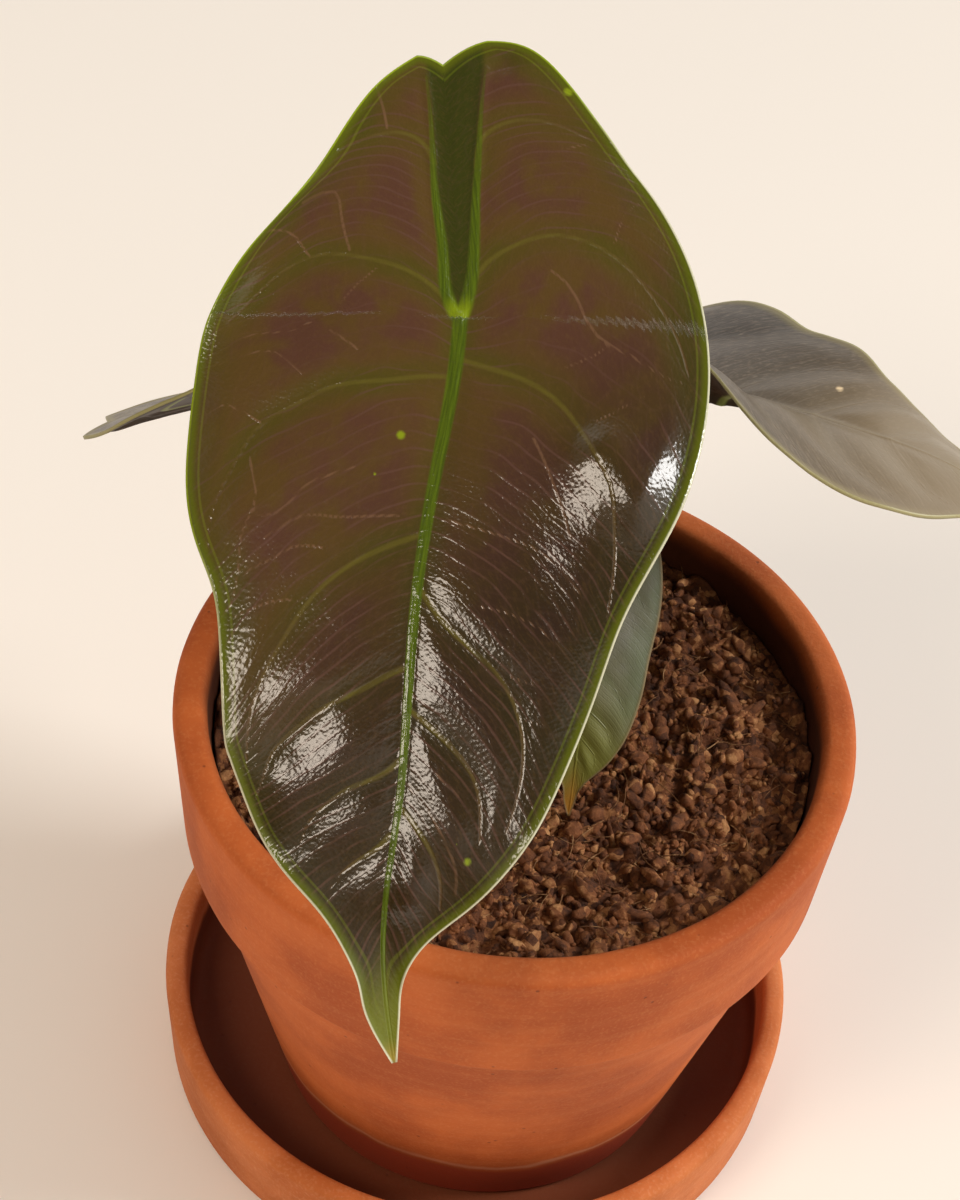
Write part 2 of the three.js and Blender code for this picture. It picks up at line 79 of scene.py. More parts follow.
# The big leaf that faces the viewer. The midrib is listed as distance past the stalk, x, y, z in mm.
# Each outline row joins a point of the midrib to both edges: distance along the midrib, then
# reach and distance along for the left edge, and the same for the right edge.
MAIN_LEAF = {
    "midrib": [
        (-49, -24, 46.5, 216.8), (-25, -19.5, 24.4, 207.4), (0, -15.2, 1.6, 198.5),
        (33, -16.1, -28.1, 184.2), (58.5, -16.2, -49.5, 170.6), (83, -15.1, -68.7, 155.3),
        (108, -15, -85.6, 137.1), (127, -11.1, -96.7, 121.8),
    ],
    "outline": [
        (-49.2, 4.5, -51, 8.1, -53.4), (-43, 12.4, -44.8, 16.5, -51), (-35, 21, -32.8, 25.6, -38.6),
        (-25, 29.4, -22.6, 31, -29), (-15, 36.8, -14, 36.8, -17.6), (-7, 41.4, -4, 41.3, -4),
        (-2, 43.2, 4, 42.9, 7), (4, 43.8, 16, 42.6, 20), (10.5, 42, 33, 40.5, 31),
        (18, 37.6, 45, 37.5, 40.5), (28, 32.6, 55, 34, 51.5), (38.5, 30.2, 71.5, 30.9, 64),
        (50, 28.7, 78.5, 26.2, 77.5), (62, 26.4, 84.3, 22.6, 85.8), (74, 22, 92.4, 18.2, 93.4),
        (84, 16, 98.2, 13.3, 100), (93, 9.5, 103.8, 8, 105.8), (103, 4.9, 111.3, 3.8, 112),
        (115, 3.7, 118.2, 2.2, 118.6), (127, 0.5, 127, 0.5, 127),
    ],
    "tilt": [(-50, 2.5), (127, 2.5)],
    "fold": [(-50, 5.7), (127, 5.7)],
    "cup": -0.003,
    "sag": [(-50, 0), (-35, -5), (-5, -12), (10, 0), (127, 0)],
    "bow": [(-50, -0.4), (-30, 0.5), (10, 1), (40, 0.75), (62, 0.35), (127, 0.1)],
    "left_veins": [-32, -2.5, 10.5, 38.5, 62, 77.5, 90],
    "right_veins": [-30, -6, 7.7, 47.5, 68, 84, 96],
    "scale": 1.0,
}

# The routes of the big leaf's side veins on its flat plane, in mm: beside and along the midrib
MAIN_VEINS = [
    [(-2.7, -30), (-4, -33.6), (-7.3, -35.9), (-13.2, -35.4), (-19.3, -33.1)],
    [(-1.6, -2.5), (-4, -5.4), (-9.4, -9.6), (-15.1, -11.9), (-25.6, -13.2), (-29.8, -10.9), (-39.6, 3.2)],
    [(0, 11), (-2.8, 11.2), (-11, 13.3), (-20.6, 16.3), (-25.3, 20), (-30.7, 24.6), (-33.8, 32), (-36, 41),
     (-35.5, 45.5)],
    [(0, 38.8), (-9.4, 44.1), (-16.7, 51), (-20.6, 57.4), (-25.5, 69.5), (-25.6, 80.2)],
    [(-1, 61.6), (-3.4, 62.8), (-7.7, 65.5), (-13.9, 69), (-18.9, 73.4), (-21.2, 76.2), (-22.8, 82.4),
     (-23.5, 86)],
    [(-0.2, 76.2), (-4, 79.6), (-7.4, 81.4), (-12.5, 86), (-14.1, 88.4), (-15.2, 93)],
    [(-0.8, 89), (-3, 91.8), (-5.4, 93.8), (-7.7, 96.2), (-9.3, 98.6)],
    [(4.6, -29), (6, -34.4), (9.5, -37), (16.2, -37.5), (25.4, -33.4)],
    [(1.2, -3.5), (4, -9.6), (9.5, -13.2), (16, -14.9), (25.3, -11.9), (33, -4.2), (38, 3.5), (39.3, 7)],
    [(0, 7.5), (5.6, 8.8), (12.3, 10.5), (20, 14.9), (26, 22), (29.2, 26.2), (30.8, 32.3), (31.8, 40),
     (31.6, 50)],
    [(0, 47.6), (5.4, 54), (14.9, 62.3), (19.2, 72), (19.5, 77), (18, 86)],
    [(0, 68), (6, 72.5), (12, 79), (14, 88)],
    [(0, 84), (4.8, 88.5), (8.5, 95), (9, 100)],
]
MAIN_FORKS = [
    [(0, 0.5), (-2, -3.3), (-2.6, -13), (-3, -23), (-2.8, -33), (-2.8, -40.6), (-3.1, -47)],
    [(0, 0.5), (1.5, -4.5), (2.8, -12.7), (3.9, -22.3), (5.2, -32), (6.2, -40), (7.5, -48)],
]
MINOR_VEINS = [
    [(-25.3, -13.2), (-26.5, -15.5), (-28, -17.8), (-30, -18.8), (-33, -18.5), (-35.5, -17)],
    [(-18.5, -13.8), (-19.1, -17), (-19.6, -23), (-20, -25), (-23, -25), (-26, -23.5)],
    [(-10.5, -37), (-11, -41), (-12, -45)],
    [(-25.5, 14), (-27.8, 12), (-30.3, 10), (-34.3, 10.2), (-37.2, 12), (-40, 14)],
    [(-31, 24.2), (-33.8, 23), (-37.9, 22), (-40.5, 24)],
    [(-31.5, 30.5), (-29.5, 34.5), (-29, 38.8), (-30, 41.5), (-29.8, 49), (-30.5, 54)],
    [(-13.5, 29.6), (-18, 32), (-21, 34), (-23.3, 37.2), (-26.4, 39.5), (-28.9, 39.2)],
    [(-4.8, 36.5), (-10.3, 37.5), (-15.5, 38.3), (-20.7, 38.8), (-23.8, 41), (-26.3, 43)],
    [(-16.3, 43.5), (-21.5, 44), (-24.3, 46), (-27, 47.5), (-29, 49)],
    [(-20.2, 52.1), (-23.4, 52.7), (-26.2, 53.8), (-29.5, 55.5)],
    [(-25.2, 2), (-29.3, 4.5), (-34, 5.3), (-40, 9)],
    [(-14, -10), (-18, -6), (-20, -3)],
    [(-16.7, 8), (-22, 4)],
    [(27, -13), (28, -15.5), (29.5, -18.3), (31.5, -20), (33.5, -20.8)],
    [(15.5, -8.5), (19, -5), (21.5, 0.2), (25.2, 3.5), (29.5, 5), (33.8, 7), (39.2, 8)],
    [(25.3, 4), (22.5, 5.7), (20, 7), (18, 8)],
    [(20.8, -31.8), (24, -32.7)],
    [(24.8, 16.2), (27.1, 14.6), (30, 12.3), (32.3, 11)],
    [(3, 36), (9.5, 37), (14.4, 37.8), (18, 38.7), (22, 41), (26.8, 46)],
    [(15, 20), (17, 22.8), (19.9, 27.5), (22.3, 32), (24.1, 36.5)],
    [(10.8, 50.3), (16.3, 51.2), (22.1, 54.2), (26.4, 59.1)],
    [(16, 61.8), (20.4, 63)],
    [(19.2, 68.8), (22.4, 69.4)],
    [(1.4, 80.9), (4, 83), (8, 88), (11, 93.5), (11.2, 97)],
    [(5.5, 78.3), (7.4, 79.6), (9.5, 81.5)],
]
# Soft swellings of the big leaf's blade, in mm: beside and along the midrib, half width and height.
# A search chose them so that the highlights fall near their true places; they are not measured relief.
MAIN_SWELLINGS = [
    (32.5, 22.5, 11.2, 1.1), (17.3, 33.8, 11.0, -1.1), (-17.7, 74.5, 6.9, -1.1), (28.4, 20.7, 5.8, 1.1),
    (2.2, 98.2, 5.1, 1.1), (10.7, -50.6, 3.5, -1.1), (32.1, 27.1, 6.0, 1.1), (1.9, 91.4, 7.3, 1.0),
    (-0.2, 93.2, 5.7, -0.6), (-34.7, 0.4, 12.0, -1.1), (18.8, 45.0, 8.1, -1.1), (-28.8, -8.6, 12.0, -1.1),
    (25.8, 20.8, 3.8, 1.1), (-0.8, 84.4, 5.1, -0.3),
]
# Pale spots on the big leaf, in mm: beside and along the midrib, radius
MAIN_SPOTS = [
    (-6.9, 23.0, 0.9), (-9.9, 30.3, 0.4), (12.5, 91.1, 0.85), (21.7, -43.1, 1.0), (10.5, 88.5, 0.3),
]

# The second big leaf, behind the first, folded along its midrib and turned to the right
BACK_LEAF = {
    "midrib": [
        (-57, -84, 40.5, 127.3), (-29, -57, 42, 139), (0, -29, 42, 145.5), (34.3, 4, 40, 151.5),
        (67.8, 36.6, 35.7, 157.5), (91.7, 58.7, 27.2, 160.5), (111.3, 77.7, 23.1, 157.5),
        (132.6, 96.2, 18.4, 148),
    ],
    "outline": [
        (-57, 7, -60, 7, -60), (-50, 15, -52, 15, -52), (-41, 23, -41, 23, -41),
        (-29, 31, -28, 31, -28), (-17, 37, -17, 37, -17), (-8, 41, -6, 41, -6),
        (-2, 43, 4, 43, 4), (5, 44, 17, 44, 17), (12, 44, 33, 44, 33),
        (21, 41, 46, 42, 45), (32, 35, 58, 40, 59), (44, 29.5, 70, 29.5, 70),
        (57, 27, 82, 25.5, 79), (70, 24.5, 91, 19.5, 90), (82, 22, 100, 17.3, 99),
        (93, 18, 107.5, 16.4, 108), (103, 13, 114, 14, 114), (113, 7, 120.5, 8, 120.5),
        (123, 3, 127, 3, 127), (132.6, 0.5, 132.6, 0.5, 132.6),
    ],
    "tilt": [
        (-60, -28), (-45, -36), (-20, -41), (40, -41), (64, -33), (72, -27), (92, -12), (111, -18),
        (132, -22),
    ],
    "fold": [(-60, 0), (-35, 3), (0, 6), (40, 15), (62, 23), (72, 20), (92, 5), (111, -11), (132, -12)],
    "cup": 0.0,
    "sag": [(-57, 0), (-35, -5), (-5, -11), (10, 0), (132, 0)],
    "bow": [(-57, -0.4), (-30, 0.5), (10, 1), (40, 0.75), (62, 0.35), (132, 0.1)],
    "left_veins": [-36, -5, 11, 40, 64, 82, 97],
    "right_veins": [-36, -5, 11, 40, 64, 82, 97],
    "scale": 1.0,
}

# The small leaf low on the right: the big leaf's outline at a smaller scale, hanging to the soil
SMALL_LEAF = dict(
    MAIN_LEAF,
    midrib=[
        (-18.7, 7.5, 18, 154), (0, 9, 4.8, 142.5), (16, 11.8, -7.5, 131), (32, 13.8, -17.3, 118.5),
        (48.3, 14, -25.5, 105.5),
    ],
    tilt=[(-19, 0), (48, -4)],
    fold=[(-19, 8), (48, 8)],
    scale=0.39,
)

# Blade and stalk sizes, in mm; those of the blade are for a full-size leaf
BLADE_THICKNESS = 0.7
RIB_HEIGHT = 1.5
RIB_WIDTH = 1.6
RIB_TAPER = 60.0
RIB_RIDGE = 0.3
FORK_RIDGE = 0.25
VEIN_RIDGE = 0.16
RIM_RIDGE = 0.18
MINOR_GROOVE = 0.07
LEAF_TIP = 127.0
STALK_FOOT = 98.0
STALK_RING = 4.3
STALK_FOOT_RADIUS = 2.9
STALK_TOP_RADIUS = 1.9
SMALL_STALK_SHARE = 0.75


# Curves and small helpers

def smooth_through(pairs):
    """A natural cubic spline through the pairs, straight past its ends"""
    at, value = np.array(pairs, float).T
    step = np.diff(at)
    slope = np.diff(value) / step
    count = len(at)
    system = np.eye(count)
    load = np.zeros(count)
    for i in range(1, count - 1):
        system[i, i - 1:i + 2] = step[i - 1], 2 * (step[i - 1] + step[i]), step[i]
        load[i] = 6 * (slope[i] - slope[i - 1])
    bend = np.linalg.solve(system, load)
    low = slope[0] - step[0] * bend[1] / 6
    high = slope[-1] + step[-1] * bend[-2] / 6

    def curve(x):
        x = np.asarray(x, float)
        inside = np.clip(x, at[0], at[-1])
        i = np.clip(np.searchsorted(at, inside, "right") - 1, 0, count - 2)
        before = (at[i + 1] - inside) / step[i]
        after = 1 - before
        swing = ((before ** 3 - before) * bend[i] + (after ** 3 - after) * bend[i + 1]) * step[i] ** 2
        past = np.minimum(x - at[0], 0) * low + np.maximum(x - at[-1], 0) * high
        return before * value[i] + after * value[i + 1] + swing / 6 + past

    return curve


def straight_through(pairs):
    """Straight lines through the pairs, level past their ends"""
    at, value = np.array(pairs, float).T
    return lambda x: np.interp(x, at, value)


def smooth_route(points, pieces):
    """A plane curve through a few points, as an array of pieces + 1 points"""
    points = np.array(points, float)
    way = np.concatenate([[0], np.cumsum(np.hypot(*np.diff(points, axis=0).T))])
    place = np.linspace(0, way[-1], pieces + 1)
    return np.stack([smooth_through(list(zip(way, points[:, k])))(place) for k in (0, 1)], axis=1)


def soft_step(low, high, x):
    """Nought below low, one above high, smooth between"""
    t = np.clip((x - low) / (high - low), 0, 1)
    return t * t * (3 - 2 * t)


def grain(x, y, size, seed):
    """Smooth noise from -1 to 1 over the plane, with lumps about size mm wide"""
    places = zip((x / size + 0.37).ravel(), (y / size + 0.61).ravel())
    values = [noise.noise(Vector((a, b, seed + 0.43))) for a, b in places]
    return np.array(values).reshape(x.shape)


def linear(hex_text):
    """A colour written as sRGB hex, as the linear values that shaders take"""
    parts = [int(hex_text[i:i + 2], 16) / 255 for i in (1, 3, 5)]
    return [c / 12.92 if c <= 0.04045 else ((c + 0.055) / 1.055) ** 2.4 for c in parts] + [1.0]


def add_node(tree, kind, *inputs, named=None, **settings):
    """Add a node with its settings, then set or link its open inputs in order, and others by name"""
    node = tree.nodes.new("ShaderNode" + kind)
    for name, value in settings.items():
        setattr(node, name, value)
    open_inputs = [socket for socket in node.inputs if socket.enabled]
    by_name = [(node.inputs[label], value) for label, value in (named or {}).items()]
    for socket, value in [*zip(open_inputs, inputs), *by_name]:
        if isinstance(value, bpy.types.Node):
            value = next(out for out in value.outputs if out.enabled)
        if isinstance(value, bpy.types.NodeSocket):
            tree.links.new(value, socket)
        else:
            socket.default_value = value
    return node


def new_material(name):
    """An empty node material, and the function that adds nodes to it"""
    material = bpy.data.materials.new(name)
    material.use_nodes = True
    tree = material.node_tree
    tree.nodes.clear()
    return material, partial(add_node, tree)


def finish_piece(name, bm, materials, node):
    """Turn a bmesh into an object that stands for a solid of the frame"""
    mesh = bpy.data.meshes.new(name)
    bm.to_mesh(mesh)
    bm.free()
    for material in materials:
        mesh.materials.append(material)
    mesh.polygons.foreach_set("use_smooth", [True] * len(mesh.polygons))
    piece = bpy.data.objects.new(name, mesh)
    bpy.context.scene.collection.objects.link(piece)
    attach(piece, "root")
    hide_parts(node)
    return piece


# The leaf's surface

class LeafSurface:
    """The bent plane of a leaf: place gives the point x mm beside the midrib at y mm along it"""

    def __init__(self, leaf):
        self.leaf = leaf
        self.line = [smooth_through([(p[0], p[k]) for p in leaf["midrib"]]) for k in (1, 2, 3)]
        self.tilt = smooth_through(leaf["tilt"])
        self.fold = smooth_through(leaf["fold"])

    def midrib(self, y):
        return np.stack([line(y) for line in self.line], axis=-1)

    def directions(self, y):
        along = self.midrib(y + 0.5) - self.midrib(y - 0.5)
        along /= np.linalg.norm(along, axis=-1, keepdims=True)
        level = np.cross([0.0, 0.0, 1.0], along)
        level /= np.linalg.norm(level, axis=-1, keepdims=True)
        up = np.cross(along, level)
        turn = np.radians(self.tilt(y))[..., None]
        return level * np.cos(turn) + up * np.sin(turn), up * np.cos(turn) - level * np.sin(turn)

    def place(self, x, y, lift):
        across, normal = self.directions(y)
        rise = np.radians(self.fold(y))
        hollow = (np.sqrt(x * x + 1) - 1) * np.sin(rise) + self.leaf["cup"] * x * x / self.leaf["scale"]
        return self.midrib(y) + across * (x * np.cos(rise))[..., None] + normal * (hollow + lift)[..., None]


class BladePlane:
    """The blade's grid laid flat, in mm at full leaf size: rows of points that follow the side veins"""

    def __init__(self, leaf, across, along):
        outline = leaf["outline"]
        self.leaf = leaf
        self.reach = [smooth_through([(row[0], row[k]) for row in outline]) for k in (1, 3)]
        self.edge_at = [smooth_through([(row[0], row[k]) for row in outline]) for k in (2, 4)]
        self.sag = straight_through(leaf["sag"])
        self.bow = straight_through(leaf["bow"])
        trial = np.linspace(outline[0][0], outline[-1][0], 600)
        travel = sum(self.travelled(trial, side, share) for side, share in
                     ((0, 1.0), (1, 1.0), (0, 0.6), (1, 0.6), (0, 0.0)))
        even = np.linspace(0, travel[-1], along + 1)
        count = np.linspace(-1, 1, across + 1)[None, :]
        self.start = np.repeat(np.interp(even, travel, trial)[:, None], across + 1, axis=1)
        self.share = np.repeat(np.abs(count) * (0.75 + 0.25 * np.abs(count)), along + 1, axis=0)
        self.right = np.repeat(count >= 0, along + 1, axis=0)
        left_x, left_y = self.row_point(self.start, 0, self.share)
        right_x, right_y = self.row_point(self.start, 1, self.share)
        self.x = np.where(self.right, right_x, left_x)
        self.y = np.where(self.right, right_y, left_y)
        self.measure()

    def row_point(self, start, side, share):
        x = (1 if side else -1) * self.reach[side](start) * share
        curve = (1 - self.bow(start)) * share + self.bow(start) * share ** 2
        y = start + (self.edge_at[side](start) - start) * curve + self.sag(start) * 4 * share * (1 - share)
        return x, y

    def travelled(self, start, side, share):
        x, y = self.row_point(start, side, share)
        return np.concatenate([[0], np.cumsum(np.hypot(np.diff(x), np.diff(y)))])

    def measure(self):
        """Distance to the margin, and mm across the rows for each mm of midrib"""
        x_down, x_across = np.gradient(self.x)
        y_down, y_across = np.gradient(self.y)
        area = np.abs(x_down * y_across - x_across * y_down)
        across_step = area / np.maximum(np.hypot(x_down, y_down), 1e-6)
        down_step = area / np.maximum(np.hypot(x_across, y_across), 1e-6)
        middle = self.x.shape[1] // 2
        from_left = np.cumsum(across_step, axis=1) - across_step[:, :1]
        from_right = np.cumsum(across_step[:, ::-1], axis=1)[:, ::-1] - across_step[:, -1:]
        self.edge = np.where(np.arange(self.x.shape[1])[None, :] < middle, from_left, from_right)
        from_notch = np.cumsum(down_step, axis=0) - down_step[:1]
        self.edge = np.minimum(self.edge, from_notch)
        self.spread = down_step / np.maximum(np.gradient(self.start[:, :1], axis=0), 1e-6)

    def near(self, routes):
        """Distance to the nearest of some routes, and how far along it that is, from 0 to 1"""
        best = np.full(self.x.shape, 9.0)
        progress = np.zeros(self.x.shape)
        for route in routes:
            for k in range(len(route) - 1):
                (ax, ay), (bx, by) = route[k], route[k + 1]
                dx, dy = bx - ax, by - ay
                along = np.clip(((self.x - ax) * dx + (self.y - ay) * dy) / (dx * dx + dy * dy), 0, 1)
                away = np.hypot(self.x - ax - along * dx, self.y - ay - along * dy)
                closer = away < best
                best = np.where(closer, away, best)
                progress = np.where(closer, (k + along) / (len(route) - 1), progress)
        return best, progress

    def quilt(self):
        """Lift between the side veins, from 0 on a vein to 1 in the middle"""
        lift = np.zeros(self.x.shape)
        for side, key in ((False, "left_veins"), (True, "right_veins")):
            veins = np.array(self.leaf[key], float)
            i = np.clip(np.searchsorted(veins, self.start, "right") - 1, 0, len(veins) - 2)
            phase = np.clip((self.start - veins[i]) / (veins[i + 1] - veins[i]), 0, 1)
            here = np.sin(np.pi * phase) ** 2 * np.sin(np.pi * self.share)
            lift = np.where(self.right == side, here, lift)
        return lift


def row_routes(plane, leaf):
    """Side vein routes that follow the rows, for a leaf whose own routes the photo doesn't show"""
    routes = []
    for side, key in ((0, "left_veins"), (1, "right_veins")):
        for start in leaf[key]:
            share = np.linspace(0, 0.86, 15)
            turned = start + 9 * np.maximum(share - 0.6, 0) ** 1.5 / 0.26
            routes.append(np.stack(plane.row_point(turned, side, share), axis=1))
    return routes


def between_forks(plane, forks):
    """Distance inside the strip between the two fork veins, in mm, negative outside it"""
    sides = []
    for route in forks:
        order = np.argsort(route[:, 1])
        sides.append(np.interp(plane.y, route[order, 1], route[order, 0]))
    inside = np.minimum(plane.x - sides[0], sides[1] - plane.x)
    return np.where(plane.y < 0, inside, -9.0)


def blade_relief(plane, sheet, routes):
    """Lift of the upper face and depth of the blade below it, in mm: swelling between veins and puckers"""
    x, y, edge = plane.x, plane.y, plane.edge
    vein_away, vein_way, fork_away, minor_away = routes
    rib_away = np.where(y > 0, np.abs(x), fork_away)
    nearest = np.minimum(vein_away, rib_away)
    inner = soft_step(0.0, 7.0, edge)
    calm = 0.45 + 0.55 * soft_step(-8.0, 30.0, y)
    swell = sheet["swell"] * nearest ** 2 / (nearest ** 2 + 9.0) * inner
    lift = (sheet["quilt"] * plane.quilt() + swell) * calm
    for beside, along, reach, height in sheet["swellings"]:
        lift += height * np.exp(-((x - beside) ** 2 + (y - along) ** 2) / reach ** 2) * inner
    lift += MINOR_GROOVE * minor_away ** 2 / (minor_away ** 2 + 2.0) * soft_step(0.5, 4.0, nearest) * inner
    lift += sheet["billow"] * grain(x, y, 13.0, 11.0) * inner * calm
    pucker = grain(plane.start, x * 0.4, 1.5, 2.0) + 0.8 * grain(x, y, 2.6, 3.0)
    even = 1 - soft_step(1.3, 2.4, plane.spread)
    lift += sheet["pucker"] * pucker * soft_step(0.3, 2.5, nearest) * inner * even
    taper = (LEAF_TIP - plane.start) / RIB_TAPER
    thin = np.clip(taper, 0.25, 1.0)
    lift += RIB_RIDGE * np.exp(-(x / (0.9 * thin)) ** 2) * (y > -1) * thin
    forks = FORK_RIDGE * np.exp(-(fork_away / 0.8) ** 2)
    lift += forks + VEIN_RIDGE * np.exp(-(vein_away / 0.75) ** 2) * (1 - vein_way)
    lift += sheet["ripple"] * plane.share ** 5 * grain(plane.start, x * 0.1, 8.0, 17.0)
    lift += RIM_RIDGE * np.exp(-(edge / 0.6) ** 2)
    depth = RIB_HEIGHT * np.exp(-(x / RIB_WIDTH) ** 2) * np.clip(taper, 0, 1)
    depth += 0.5 * np.exp(-(vein_away / 0.8) ** 2) * inner + 0.9 * np.exp(-(fork_away / 1.1) ** 2)
    return lift, depth


def build_blade(name, leaf, sheet):
    """The finished blade: a fine grid bent to the leaf's form, thickened, with its veins as attributes"""
    size = leaf["scale"]
    plane = BladePlane(leaf, sheet["across"], sheet["along"])
    surface = LeafSurface(leaf)
    x, y = plane.x, plane.y
    routes = [smooth_route(r, 20) for r in sheet["veins"]] if sheet["veins"] else row_routes(plane, leaf)
    forks = [smooth_route(r, 16) for r in MAIN_FORKS]
    vein_away, vein_way = plane.near(routes)
    fork_away, fork_way = plane.near(forks)
    minor_away, minor_way = plane.near([smooth_route(r, 9) for r in sheet["minor"]])
    lift, depth = blade_relief(plane, sheet, (vein_away, vein_way, fork_away, minor_away))
    upper = surface.place(x * size, y * size, lift * size)
    lower = upper - surface.directions(y * size)[1] * (depth * size + BLADE_THICKNESS)[..., None]

    bm = bmesh.new()
    bmesh.ops.create_grid(bm, x_segments=sheet["across"], y_segments=sheet["along"], size=1.0)
    place = bm.verts.layers.int.new("place")
    width = sheet["across"] + 1
    for vert in bm.verts:
        i = round((vert.co.y + 1) / 2 * sheet["along"])
        j = round((vert.co.x + 1) / 2 * sheet["across"])
        vert[place] = i * width + j
    grown = bmesh.ops.extrude_face_region(bm, geom=bm.faces[:], use_keep_orig=True)["geom"]
    below = {v for v in grown if isinstance(v, bmesh.types.BMVert)}
    upper_flat = (upper.reshape(-1, 3) * MM).tolist()
    lower_flat = (lower.reshape(-1, 3) * MM).tolist()
    for vert in bm.verts:
        vert.co = (lower_flat if vert in below else upper_flat)[vert[place]]
    bmesh.ops.recalc_face_normals(bm, faces=bm.faces)
    for face in bm.faces:
        face.material_index = 1 if all(v in below for v in face.verts) else 0
    piece = finish_piece(name, bm, sheet["materials"], sheet["node"])

    spots = np.full(x.shape, 9.0)
    for spot_x, spot_y, radius in sheet["spots"]:
        spots = np.minimum(spots, np.hypot(x - spot_x, y - spot_y) / radius)
    row = plane.start + 0.5 * grain(x, y, 5.0, 5.0) + 1.6 * grain(x, y, 16.0, 8.0)
    zero = np.zeros(x.shape)
    layers = {
        "flat": (x, y, between_forks(plane, forks)),
        "side_vein": (zero, vein_away, vein_way),
        "fork_vein": (zero, fork_away, fork_way),
        "minor_vein": (minor_away, zero, minor_way),
        "lamina": (plane.edge, row, plane.spread),
        "weave": (plane.start, plane.share, spots),
    }
    mesh = piece.data
    index = np.empty(len(mesh.vertices), dtype=np.int32)
    mesh.attributes["place"].data.foreach_get("value", index)
    for label, columns in layers.items():
        values = np.stack([c.ravel() for c in columns], axis=1)[index]
        layer = mesh.attributes.new(label, "FLOAT_VECTOR", "POINT")
        layer.data.foreach_set("vector", values.astype(np.float32).ravel())
    mesh.attributes.remove(mesh.attributes["place"])
    return piece


# Leaf finishes

